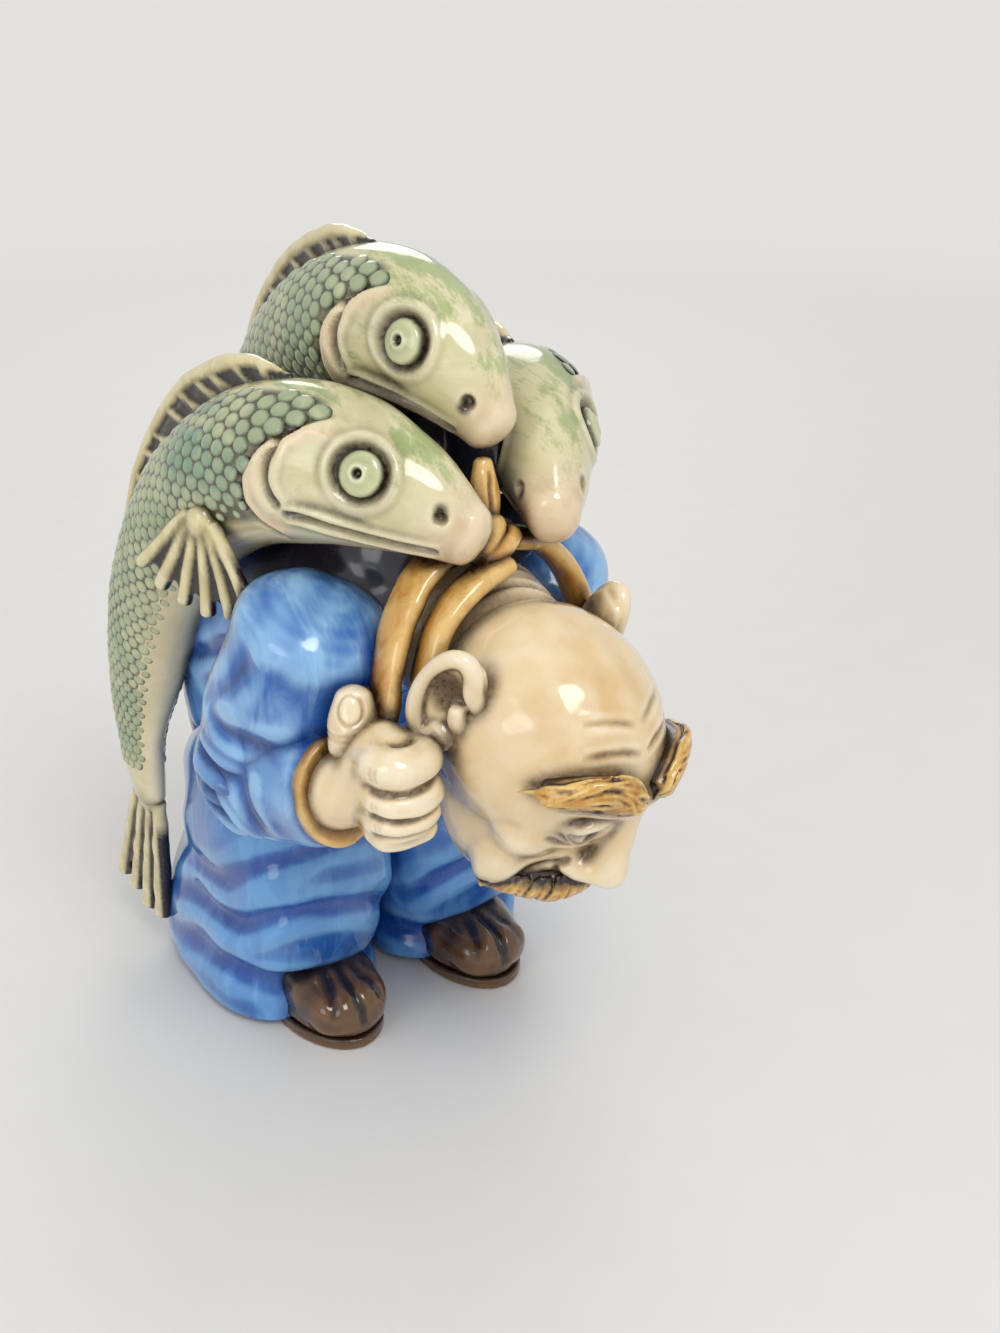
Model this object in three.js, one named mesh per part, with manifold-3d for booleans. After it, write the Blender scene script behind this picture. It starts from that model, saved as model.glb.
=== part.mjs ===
// A glazed clay figurine of a stooping fisherman who carries three big fish on his back.
// Every member is modelled by itself and pressed to its neighbours with slip before firing, so each
// one is its own closed body here, with a thin slip joint left between it and the next.
// Millimetres, +Z up. The figure faces -Y and his right hand is on -X. It stands on Z = 0.
import * as THREE from "three";
import { mergeVertices } from "three/addons/utils/BufferGeometryUtils.js";
import Module from "manifold-3d";

const wasm = await Module();
wasm.setup();

// Slip joint left between two members that are pressed together.
const JOINT_GAP = 0.3;

// Boots. The welt runs round the foot of the boot and is the face that the figure stands on.
const FOOT_SPREAD = 21; // from the middle of the figure to the middle of each boot
const BOOT_HALF_WIDTH = 11.5;
const BOOT_TOE_Y = -33;
const BOOT_HEEL_Y = 7;
const BOOT_SINK = 1.5; // of the boot's foot into its welt
const BOOT_TOE_ROUND = 6; // from the tip of the toe back to where the boot is at its full width
const BOOT_HALF_HEIGHTS = [6.5, 7.5, 8.5, 8]; // toe, ball, instep, heel
const INSTEP_LENGTH = 12; // from the ball of the foot to the instep
const WELT_THICKNESS = 3;
const WELT_OVERHANG = 1.2;

// Trousers, one leg at a time: a line from the hip over the bent knee to the hem.
const LEG_SPREAD = 22.5;
const HEM_RISE = 2.5; // above the floor
const LEG_LINE = [
  [-2, 15, 74],
  [0, 3, 56],
  [1, 1, 38],
  [0, 12, 18],
  [0, 14, -2],
];
const LEG_HALF_WIDTHS = [18, 21.5, 21.5, 21.5, 22.5];
const LEG_HALF_DEPTHS = [23, 27, 27, 28, 32];

// Folds of the cloth, each as shares of the leg's length from the hip, with degrees round the leg from
// its outside. Below zero is towards the shin.
const LEG_FOLDS = [
  [[0.5, 12], [0.43, -8], [0.37, -32], [0.35, -62], [0.35, -92]],
  [[0.76, 18], [0.64, 2], [0.53, -20], [0.46, -50], [0.42, -82], [0.395, -115]],
  [[0.88, 20], [0.75, -3], [0.62, -26], [0.53, -55], [0.47, -88], [0.42, -125]],
];
const LEG_FOLD_RADIUS = 2.5;

// Seat and jacket.
const SEAT_CENTRE = [0, 15, 71];
const SEAT_HALF_SIZES = [37, 28, 26];
const JACKET_LINE = [
  [0, 18, 74],
  [0, 8, 92],
  [0, -8, 108],
  [0, -27, 114],
  [0, -40, 113],
];
const JACKET_HALF_WIDTHS = [37, 38, 38, 33, 22];
const JACKET_HALF_DEPTHS = [27, 28, 27, 22, 15];

const HUMP_CENTRE = [-3, -12, 121]; // of the bent back, which carries the fish
const HUMP_HALF_SIZES = [23, 37, 31];

// Arms, from the shoulder over the elbow to the cuff and the closed hand. His left arm is held closer.
const RIGHT_ARM = {
  shoulder: [-32, -42, 117],
  elbow: [-41, -27, 81],
  cuff: [-38, -56, 88],
  fist: [-32, -69, 95],
};
const LEFT_ARM = {
  shoulder: [29, -34, 114],
  elbow: [38, -21, 80],
  cuff: [32, -49, 86],
  fist: [25, -60, 92],
};
const SHOULDER_RADIUS = 17;
const UPPER_SLEEVE_RADIUS = 16.5;
const ELBOW_RADIUS = 14;
const CUFF_HALF_SIZES = [10, 12];
const CUFF_BAND_WIDTH = 3.2;
const CUFF_BAND_THICKNESS = 1.1;
const FIST_HALF_SIZES = [9, 12.5, 12];
const WRIST_RADIUS = 8.5;
const THUMB_RISE = [5, 10, 15]; // above the middle of the fist
const THUMB_RADII = [5, 5.2, 4];

// Head. The crown is bald, and the head is bowed forward and turned a little to his left.
const HEAD_CENTRE = [0, -77, 100.5];
const HEAD_BOW = 32; // degrees
const HEAD_TURN = 12;
const SKULL_HALF_SIZES = [22.3, 26.3, 24.5];
const SKULL_RISE = 1;
const JAW_HALF_SIZES = [17.5, 20.2, 27.7];
const JAW_DROP = 11.8;
const JAW_FORWARD = 3.8;
const EYE_SPREAD = 9.2;
const EYE_RADIUS = 4.7;
const EYE_STAND = 1.2;
const NOSE_BRIDGE_RISE = 1;
const NOSE_DROP = 17;
const NOSE_STAND = 8;
const NOSE_RADII = [2.8, 3.7, 5.2];
const BROW_RISE = 9;
const BROW_ARCH = [0, 1.7, 1.3, -1.5]; // over the brow's inner end
const BROW_STAND = 1;
const BROW_INNER_END = 3.6; // from the middle of the face
const BROW_HALF_THICKNESS = 3.4;
const BROW_LENGTH = 14;
const BROW_HALF_HEIGHTS = [2.6, 3.9, 3.4, 1.9];
const MOUSTACHE_DROP = 20.9;
const MOUSTACHE_HALF_LENGTH = 12.3;
const MOUSTACHE_SAG = 3.7; // of its ends below its middle
const MOUSTACHE_HALF_THICKNESS = 4.5;
const MOUSTACHE_HALF_HEIGHTS = [2.1, 4.1, 4.9, 4.1, 2.1];
const EAR_HEIGHT = 22;
const EAR_DEPTH = 12;
const EAR_RISE = 8;
const EAR_SET_BACK = 10.5;
const EAR_RIM_RADIUS = 2.3;
const EAR_FLARE = 24; // degrees away from the head
const NECK_LINE = [
  [0, -30, 112],
  [0, -48, 112],
  [0, -64, 106],
];
const NECK_RADII = [17, 18, 18];

// Straps, which run from a knot on the nape down to the fists.
const KNOT_CENTRE = [-2, -60, 136];
const KNOT_HALF_SIZES = [7, 5, 4.5];
const STRAP_HALF_THICKNESS = 2;
const STRAP_HALF_WIDTH = 3.4;
const OUTER_STRAP_LINE = [
  [-5, -58, 135],
  [-14, -57, 132],
  [-22, -59, 124],
  [-27, -61, 113],
  [-30, -63, 100],
];
const INNER_STRAP_LINE = [
  [-1, -64, 132],
  [-10, -65, 129],
  [-18, -66, 122],
  [-22, -67, 112],
];
const LEFT_STRAP_LINE = [
  [1, -58, 135],
  [12, -56, 132],
  [21, -55, 124],
  [25, -56, 113],
  [27, -57, 99],
];
const KNOT_TAIL_LINE = [
  [-2, -60, 139],
  [-2, -59, 145],
  [-1, -57, 151],
];
const KNOT_TAIL_RADII = [3, 3.6, 2];

// Fish. Each has the same build, carried along its own line from the snout to the root of the tail.
const FISH_HALF_HEIGHTS = [6.5, 13, 16.5, 16.5, 15.5, 14.5, 12.5, 9.5, 6];
const FISH_HALF_WIDTHS = [5.5, 10.5, 13.5, 14, 13, 11, 8, 5, 3.4];
const RIGHT_FISH_LINE = [
  [-10, -66, 140],
  [-18, -52, 147],
  [-26, -36, 150],
  [-32, -17, 145],
  [-36, 2, 132],
  [-40, 17, 111],
  [-43, 27, 87],
  [-45, 30, 68],
  [-45.5, 28, 50],
];
const MIDDLE_FISH_LINE = [
  [1, -57, 158],
  [-2, -46, 169],
  [-4, -30, 173],
  [-5, -12, 169.5],
  [-5.5, 7, 159],
  [-5, 22, 143],
  [-3, 33, 119],
  [-1, 40, 93],
  [0, 44, 64],
];
const EYE_STATION = 1.2; // in stations of the fish's line, from the snout
const FISH_EYE_RISE = 18; // degrees up the flank
const FISH_EYE_RADIUS = 4.6;
const FISH_EYE_STAND = 0.9;
const FISH_EYE_DEPTH = 3;
const GILL_GROOVE = [
  [1.62, 46],
  [1.9, 32],
  [2.2, 14],
  [2.4, -5],
  [2.46, -24],
  [2.32, -44],
]; // stations of the fish's line, with degrees up the flank
const GILL_GROOVE_RADIUS = 1.8;
const MOUTH_GROOVE = [
  [2.02, -31],
  [1.5, -34],
  [1, -38],
  [0.5, -38],
  [0.15, -34],
];
const MOUTH_GROOVE_RADIUS = 1.2;
const DORSAL_FIN_FROM = 2.3;
const DORSAL_FIN_TO = 5.8;
const SIDE_DORSAL_FIN_HEIGHT = 9.5;
const MIDDLE_DORSAL_FIN_HEIGHT = 6.5;
const DORSAL_FIN_HALF_THICKNESS = 1.4;
const PECTORAL_FIN_STATION = 3.15;
const PECTORAL_FIN_DROP = 28; // degrees down the flank
const PECTORAL_FIN_LENGTH = 22;
const PECTORAL_FIN_SPREAD = 78; // degrees
const PECTORAL_FIN_RAYS = 6;
const FIN_THICKNESS = 2.6;
const FIN_ROOT_SHARE = 0.16; // half width of a fin at its root, as a share of its length
const FIN_NOTCH = 0.9; // how far out the notches between the rays reach, as a share of its length
const FIN_LEAN = 0.15; // of a tail fin's face towards the back
const TAIL_FIN_SPREAD = 20;
const TAIL_FIN_RAYS = 5;
const SIDE_TAIL_TIP = [-45, 41, 14];
const MIDDLE_TAIL_TIP = [1, 50, 28];

const vec = (p) => new THREE.Vector3(...p);
const mirrorPoint = ([x, y, z]) => [-x, y, z];
const UP = new THREE.Vector3(0, 0, 1);
const BACK = new THREE.Vector3(0, 1, 0);

// A closed three.js geometry as a solid that can be joined and cut.
function solid(geometry) {
  const bare = geometry.clone();
  for (const name of Object.keys(bare.attributes))
    if (name !== "position") bare.deleteAttribute(name);
  const merged = mergeVertices(bare, 1e-4);
  const mesh = new wasm.Mesh({
    numProp: 3,
    vertProperties: new Float32Array(merged.attributes.position.array),
    triVerts: new Uint32Array(merged.index.array),
  });
  return new wasm.Manifold(mesh);
}

// A skin over rings of points with a fan at each end, turned so that its faces point out.
function skin(rings) {
  const sides = rings[0].length;
  const points = rings.flat();
  const index = [];
  for (let i = 0; i + 1 < rings.length; i++)
    for (let j = 0; j < sides; j++) {
      const a = i * sides + j;
      const b = i * sides + ((j + 1) % sides);
      index.push(a, b, b + sides, a, b + sides, a + sides);
    }
  const last = (rings.length - 1) * sides;
  const mean = (ring) =>
    ring.reduce((sum, p) => sum.add(p), new THREE.Vector3()).divideScalar(sides);
  const start = points.push(mean(rings[0])) - 1;
  const end = points.push(mean(rings[rings.length - 1])) - 1;
  for (let j = 0; j < sides; j++) {
    const next = (j + 1) % sides;
    index.push(start, next, j, end, last + j, last + next);
  }
  const geometry = new THREE.BufferGeometry().setFromPoints(points);
  geometry.setIndex(index);
  return geometry;
}

// A smooth line through points, and a smooth run of values along it, both read at u from 0 to 1.
function along(line, u) {
  const curve = new THREE.CatmullRomCurve3(line.map(vec));
  return { at: curve.getPoint(u), tangent: curve.getTangent(u) };
}

function valueAt(values, u) {
  if (typeof values === "number") return values;
  return new THREE.SplineCurve(values.map((v, k) => new THREE.Vector2(k, v))).getPoint(u).y;
}

// The axes across a line at u: tall follows the up direction, wide is square to it.
function frameAt(line, up, u) {
  const { at, tangent } = along(line, u);
  const lean = typeof up === "function" ? up(at) : up[0].clone().lerp(up[1] ?? up[0], u);
  const tall = lean.addScaledVector(tangent, -lean.dot(tangent)).normalize();
  const wide = new THREE.Vector3().crossVectors(tall, tangent);
  return { at, tangent, tall, wide };
}

// Below 1, the power turns an oval into a rounded square.
const squared = (value, power) => Math.sign(value) * Math.abs(value) ** power;

const DOME_STEPS = [
  [0.28, 1],
  [0.76, 0.68],
]; // how wide a dome still is, against how far out it has come

// An oval limb along a line, with half sizes at each point and a low dome at each end.
function limb({ line, wide, tall = wide, up = [UP], sides = 12, rings = 6, dome = 0.6, square = 1 }) {
  return (grow) => {
    const ring = (u, scale, push) => {
      const f = frameAt(line, up, u);
      const a = (valueAt(wide, u) + grow) * scale;
      const b = (valueAt(tall, u) + grow) * scale;
      const centre = f.at.addScaledVector(f.tangent, push);
      return Array.from({ length: sides }, (_, j) => {
        const angle = (j / sides) * 2 * Math.PI;
        return centre
          .clone()
          .addScaledVector(f.wide, a * squared(Math.cos(angle), square))
          .addScaledVector(f.tall, b * squared(Math.sin(angle), square));
      });
    };
    const reach = (u) => dome * Math.min(valueAt(wide, u), valueAt(tall, u)) + grow;
    const body = Array.from({ length: rings + 1 }, (_, i) => ring(i / rings, 1, 0));
    const start = DOME_STEPS.map(([scale, share]) => ring(0, scale, -reach(0) * share));
    const end = DOME_STEPS.map(([scale, share]) => ring(1, scale, reach(1) * share)).reverse();
    return solid(skin([...start, ...body, ...end]));
  };
}

// A place on a limb's skin, at a share of its length and an angle round it, and the way out there.
function onLimb({ line, wide, tall, up, square = 1 }, u, angle) {
  const f = frameAt(line, up, u);
  const a = valueAt(wide, u);
  const b = valueAt(tall, u);
  const at = f.at
    .clone()
    .addScaledVector(f.wide, a * squared(Math.cos(angle), square))
    .addScaledVector(f.tall, b * squared(Math.sin(angle), square));
  const normal = f.wide
    .clone()
    .multiplyScalar(Math.cos(angle) / a)
    .addScaledVector(f.tall, Math.sin(angle) / b)
    .normalize();
  return { ...f, at, normal };
}

const GROOVE_TAPER = [0.35, 1, 1, 1, 0.35];

// A form with round grooves pressed along lines on its skin. Only its own solid has them: what lies
// beside it is still cut by the whole form.
const grooved = (form, lines, radius) => (grow) => {
  const whole = form(grow);
  if (grow) return whole;
  const wide = GROOVE_TAPER.map((share) => share * radius);
  return lines.reduce((body, line) => body.subtract(limb({ line, wide, sides: 8, rings: 8 })(0)), whole);
};

// An egg: a sphere stretched to three half sizes, in a frame of its own.
function egg(centre, halfSizes, turn = new THREE.Matrix4(), across = 14, down = 9) {
  return (grow) => {
    const geometry = new THREE.SphereGeometry(1, across, down);
    geometry.rotateX(Math.PI / 2);
    geometry.scale(...halfSizes.map((s) => s + grow));
    return solid(geometry.applyMatrix4(turn).translate(...centre));
  };
}

const join = (...forms) => (grow) =>
  forms.map((form) => form(grow)).reduce((sum, s) => sum.add(s));

const mirrored = (form) => (grow) => form(grow).mirror([1, 0, 0]);

// A fan of rays from a root, as a plate with a scalloped edge.
function fan({ root, axis, normal, length, spread, rays, thickness }) {
  return (grow) => {
    const half = THREE.MathUtils.degToRad(spread) / 2;
    const outline = new THREE.Shape();
    const rootWidth = length * FIN_ROOT_SHARE + grow;
    const steps = rays * 2;
    const notch = grow ? 1 : FIN_NOTCH; // a neighbour is cut by the whole fan, notches filled
    outline.moveTo(-grow, -rootWidth);
    for (let i = 0; i <= steps; i++) {
      const angle = -half + (2 * half * i) / steps;
      const reach = (i % 2 ? notch : 1) * length + grow;
      const side = rootWidth * (angle / half);
      outline.lineTo(reach * Math.cos(angle), side + reach * Math.sin(angle));
    }
    outline.lineTo(-grow, rootWidth);
    const depth = thickness + 2 * grow;
    const geometry = new THREE.ExtrudeGeometry(outline, { depth, bevelEnabled: false });
    geometry.translate(0, 0, -depth / 2);
    const x = axis.clone().normalize();
    const z = normal.clone().addScaledVector(x, -normal.dot(x)).normalize();
    const y = new THREE.Vector3().crossVectors(z, x);
    geometry.applyMatrix4(new THREE.Matrix4().makeBasis(x, y, z).setPosition(root));
    return solid(geometry);
  };
}

// Places a member: what is already placed cuts it, one slip joint wider than it is.
const figure = new THREE.Group();
const placed = [];

function meshOf(body) {
  const { numProp, vertProperties, triVerts, numVert } = body.getMesh();
  const position = new Float32Array(numVert * 3);
  for (let i = 0; i < numVert; i++)
    position.set(vertProperties.subarray(i * numProp, i * numProp + 3), i * 3);
  const geometry = new THREE.BufferGeometry();
  geometry.setAttribute("position", new THREE.BufferAttribute(position, 3));
  geometry.setIndex(new THREE.BufferAttribute(triVerts, 1));
  return geometry;
}

function place(name, material, form) {
  let body = form(0);
  for (const neighbour of placed) body = body.subtract(neighbour);
  const largest = body
    .decompose()
    .reduce((best, piece) => (piece.volume() > best.volume() ? piece : best));
  placed.push(form(JOINT_GAP));
  const mesh = new THREE.Mesh(meshOf(largest), material);
  mesh.name = name;
  figure.add(mesh);
}

// A left member is the right one mirrored in the middle of the figure.
function placePair(name, material, form) {
  place(`${name}_right`, material, form);
  place(`${name}_left`, material, mirrored(form));
}

const glaze = (color, roughness) =>
  new THREE.MeshStandardMaterial({ color, roughness, metalness: 0 });
const BLUE = glaze(0x1f63ad, 0.3);
const SKIN = glaze(0xd9c39a, 0.28);
const OCHRE = glaze(0xb98a3e, 0.32);
const HAIR = glaze(0xb8862f, 0.4);
const FISH_SKIN = glaze(0xa9ab82, 0.3);
const FISH_FIN = glaze(0xa59a6a, 0.34);
const EYE_GLAZE = glaze(0xb4b780, 0.25);
const BROWN = glaze(0x3a2a1e, 0.25);
const EYE_WHITE = glaze(0xd8ccb0, 0.25);

// Boots on their welts.
const FOOT_LENGTH = BOOT_HEEL_Y - BOOT_TOE_Y;
const FOOT_MIDDLE_Y = (BOOT_HEEL_Y + BOOT_TOE_Y) / 2;

function welt(grow) {
  const outline = new THREE.Shape();
  const halfLength = FOOT_LENGTH / 2 + WELT_OVERHANG + grow;
  const halfWidth = BOOT_HALF_WIDTH + WELT_OVERHANG + grow;
  outline.absellipse(0, 0, halfWidth, halfLength, 0, 2 * Math.PI);
  const options = { depth: WELT_THICKNESS + grow, bevelEnabled: false, curveSegments: 20 };
  const geometry = new THREE.ExtrudeGeometry(outline, options);
  return solid(geometry.translate(-FOOT_SPREAD, FOOT_MIDDLE_Y, 0));
}

const BALL_Y = FOOT_MIDDLE_Y - INSTEP_LENGTH / 3;
const bootLengthwise = [
  BOOT_TOE_Y + BOOT_TOE_ROUND,
  BALL_Y,
  BALL_Y + INSTEP_LENGTH,
  BOOT_HEEL_Y - BOOT_TOE_ROUND,
];
const boot = limb({
  line: bootLengthwise.map((y, i) => [
    -FOOT_SPREAD,
    y,
    WELT_THICKNESS - BOOT_SINK + BOOT_HALF_HEIGHTS[i],
  ]),
  wide: [0.83, 1, 0.92, 0.75].map((share) => share * BOOT_HALF_WIDTH),
  tall: BOOT_HALF_HEIGHTS,
});
placePair("welt", BROWN, welt);
placePair("boot", BROWN, boot);

// One fish: its body, eyes and fins are worked out from its line and the shared half sizes.
function fish(name, { line, tailTip, dorsalHeight, finSides }) {
  const stations = line.length - 1;
  const up = [UP, BACK];
  const shape = { line, wide: FISH_HALF_WIDTHS, tall: FISH_HALF_HEIGHTS, up, sides: 14, rings: 11 };
  const onSkin = (station, angle) => onLimb(shape, station / stations, angle);
  const flank = (side, degrees) => {
    const angle = THREE.MathUtils.degToRad(degrees);
    return side < 0 ? angle : Math.PI - angle;
  };

  for (const [side, label] of [
    [-1, "right"],
    [1, "left"],
  ]) {
    const { at, normal } = onSkin(EYE_STATION, flank(side, FISH_EYE_RISE));
    place(`${name}_eye_${label}`, EYE_GLAZE, (grow) => {
      const depth = FISH_EYE_STAND + FISH_EYE_DEPTH + grow;
      const radius = FISH_EYE_RADIUS + grow;
      const profile = [
        [0, -FISH_EYE_DEPTH - grow],
        [radius, -FISH_EYE_DEPTH - grow],
        [radius, 0],
        [radius * 0.8, FISH_EYE_STAND * 0.7 + grow],
        [0, depth - FISH_EYE_DEPTH],
      ].map(([x, y]) => new THREE.Vector2(x, y));
      const pellet = new THREE.LatheGeometry(profile, 12);
      const turn = new THREE.Quaternion().setFromUnitVectors(BACK, normal);
      return solid(pellet.applyQuaternion(turn).translate(...at.toArray()));
    });
  }

  const drawn = (marks) =>
    [-1, 1].map((side) => marks.map(([s, degrees]) => onSkin(s, flank(side, degrees)).at.toArray()));
  const gilled = grooved(limb(shape), drawn(GILL_GROOVE), GILL_GROOVE_RADIUS);
  place(`${name}_body`, FISH_SKIN, grooved(gilled, drawn(MOUTH_GROOVE), MOUTH_GROOVE_RADIUS));

  const finLine = [0, 0.33, 0.66, 1].map((share) => {
    const station = DORSAL_FIN_FROM + (DORSAL_FIN_TO - DORSAL_FIN_FROM) * share;
    const { at, tall } = onSkin(station, Math.PI / 2);
    return at.addScaledVector(tall, dorsalHeight * 0.18).toArray();
  });
  const crest = [0.3, 0.75, 0.7, 0.3].map((share) => share * dorsalHeight);
  const fin = { line: finLine, wide: DORSAL_FIN_HALF_THICKNESS, tall: crest, up, sides: 10 };
  place(`${name}_dorsal_fin`, FISH_FIN, limb(fin));

  for (const side of finSides) {
    const root = onSkin(PECTORAL_FIN_STATION, flank(side, -PECTORAL_FIN_DROP));
    const axis = root.tangent.clone().multiplyScalar(0.25).addScaledVector(UP, -1);
    place(
      `${name}_pectoral_fin`,
      FISH_FIN,
      fan({
        root: root.at.clone().addScaledVector(root.normal, FIN_THICKNESS * 0.3),
        axis,
        normal: root.normal,
        length: PECTORAL_FIN_LENGTH,
        spread: PECTORAL_FIN_SPREAD,
        rays: PECTORAL_FIN_RAYS,
        thickness: FIN_THICKNESS,
      }),
    );
  }

  const tailRoot = vec(line[stations]);
  const tailAxis = vec(tailTip).sub(tailRoot);
  place(
    `${name}_tail_fin`,
    FISH_FIN,
    fan({
      root: tailRoot,
      axis: tailAxis,
      normal: new THREE.Vector3(1, FIN_LEAN, 0),
      length: tailAxis.length(),
      spread: TAIL_FIN_SPREAD,
      rays: TAIL_FIN_RAYS,
      thickness: FIN_THICKNESS,
    }),
  );
}

fish("right_fish", {
  line: RIGHT_FISH_LINE,
  tailTip: SIDE_TAIL_TIP,
  dorsalHeight: SIDE_DORSAL_FIN_HEIGHT,
  finSides: [-1],
});
fish("left_fish", {
  line: RIGHT_FISH_LINE.map(mirrorPoint),
  tailTip: mirrorPoint(SIDE_TAIL_TIP),
  dorsalHeight: SIDE_DORSAL_FIN_HEIGHT,
  finSides: [1],
});
fish("middle_fish", {
  line: MIDDLE_FISH_LINE,
  tailTip: MIDDLE_TAIL_TIP,
  dorsalHeight: MIDDLE_DORSAL_FIN_HEIGHT,
  finSides: [],
});

// Head. Its own frame has the face on -Y and the crown on +Z.
const headTurn = new THREE.Matrix4()
  .makeRotationZ(THREE.MathUtils.degToRad(HEAD_TURN))
  .multiply(new THREE.Matrix4().makeRotationX(THREE.MathUtils.degToRad(HEAD_BOW)));
const headFrame = headTurn.clone().setPosition(...HEAD_CENTRE);
const onHead = (...p) => new THREE.Vector3(...p).applyMatrix4(headFrame).toArray();
const headFace = new THREE.Vector3(0, -1, 0).transformDirection(headTurn);
const headSide = new THREE.Vector3(1, 0, 0).transformDirection(headTurn);

// The point on the front of the face, out from its middle by x and up by z, standing off by stand.
function onFace(x, z, stand = 0) {
  const front = ([across, deep, high], rise) =>
    deep * Math.sqrt(1 - (x / across) ** 2 - ((z - rise) / high) ** 2);
  const depths = [
    front(SKULL_HALF_SIZES, SKULL_RISE),
    JAW_FORWARD + front(JAW_HALF_SIZES, -JAW_DROP),
  ];
  return onHead(x, -Math.max(...depths.filter(Number.isFinite)) - stand, z);
}

for (const [side, label] of [
  [-1, "right"],
  [1, "left"],
])
  place(
    `eye_${label}`,
    EYE_WHITE,
    egg(
      onFace(side * EYE_SPREAD, 0, EYE_STAND - EYE_RADIUS),
      Array(3).fill(EYE_RADIUS),
      headTurn,
      10,
      6,
    ),
  );

const skull = egg(onHead(0, 0, SKULL_RISE), SKULL_HALF_SIZES, headTurn, 16, 10);
const jaw = egg(onHead(0, -JAW_FORWARD, -JAW_DROP), JAW_HALF_SIZES, headTurn, 14, 10);
const nose = limb({
  line: [
    onFace(0, NOSE_BRIDGE_RISE, -1),
    onFace(0, -NOSE_DROP * 0.45, NOSE_STAND * 0.35),
    onFace(0, -NOSE_DROP * 0.85, NOSE_STAND * 0.6),
  ],
  wide: NOSE_RADII,
  up: [headFace],
  rings: 5,
});
place("head", SKIN, join(skull, jaw, nose));

// An ear is a rolled rim round a thin hollow shell.
function ear(side) {
  const flare = THREE.MathUtils.degToRad(EAR_FLARE);
  const rim = (depth, height) => {
    const out = Math.sin(flare) * (depth + EAR_DEPTH / 2);
    return onHead(
      side * (SKULL_HALF_SIZES[0] - 2 + out),
      EAR_SET_BACK + Math.cos(flare) * depth,
      EAR_RISE + height,
    );
  };
  const line = Array.from({ length: 9 }, (_, i) => {
    const angle = Math.PI * (-0.62 + (1.5 * i) / 8);
    return rim((EAR_DEPTH / 2) * Math.cos(angle), (EAR_HEIGHT / 2) * Math.sin(angle));
  });
  const hollow = Array.from({ length: 4 }, (_, i) => rim(0, EAR_HEIGHT * (0.32 - 0.21 * i)));
  return join(
    limb({ line, wide: EAR_RIM_RADIUS, up: [headSide], sides: 8, rings: 9 }),
    limb({ line: hollow, wide: [4, 5.5, 4.5, 3], tall: 1.5, up: [headSide], sides: 8, rings: 3 }),
  );
}
place("ear_right", SKIN, ear(-1));
place("ear_left", SKIN, ear(1));

function brow(side) {
  const line = [0, 1, 2, 3].map((i) => {
    const out = BROW_INNER_END + (BROW_LENGTH * i) / 3;
    return onFace(side * out, BROW_RISE + BROW_ARCH[i], BROW_STAND);
  });
  const sizes = { wide: BROW_HALF_HEIGHTS, tall: BROW_HALF_THICKNESS };
  return limb({ line, ...sizes, up: [headFace], sides: 10, rings: 6 });
}
place("eyebrow_right", HAIR, brow(-1));
place("eyebrow_left", HAIR, brow(1));

const moustacheLine = [-1, -0.5, 0, 0.5, 1].map((share) =>
  onFace(MOUSTACHE_HALF_LENGTH * share, -MOUSTACHE_DROP - MOUSTACHE_SAG * share * share, 1),
);
const moustacheSizes = { wide: MOUSTACHE_HALF_HEIGHTS, tall: MOUSTACHE_HALF_THICKNESS };
place(
  "moustache",
  HAIR,
  limb({ line: moustacheLine, ...moustacheSizes, up: [headFace], rings: 8 }),
);

place("neck", SKIN, limb({ line: NECK_LINE, wide: NECK_RADII }));

// Knot and straps.
place("knot", OCHRE, egg(KNOT_CENTRE, KNOT_HALF_SIZES, undefined, 12, 8));
const tailForm = { line: KNOT_TAIL_LINE, wide: KNOT_TAIL_RADII, tall: STRAP_HALF_THICKNESS };
place("knot_tail", OCHRE, limb({ ...tailForm, up: [BACK], sides: 10, rings: 4 }));
const offNeck = (at) => new THREE.Vector3(at.x, 0, at.z - NECK_LINE[2][2]);
const strap = (line) =>
  limb({
    line,
    wide: STRAP_HALF_WIDTH,
    tall: STRAP_HALF_THICKNESS,
    up: offNeck,
    sides: 8,
    rings: 8,
  });
place("strap_right_outer", OCHRE, strap(OUTER_STRAP_LINE));
place("strap_right_inner", OCHRE, strap(INNER_STRAP_LINE));
place("strap_left", OCHRE, strap(LEFT_STRAP_LINE));

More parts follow.
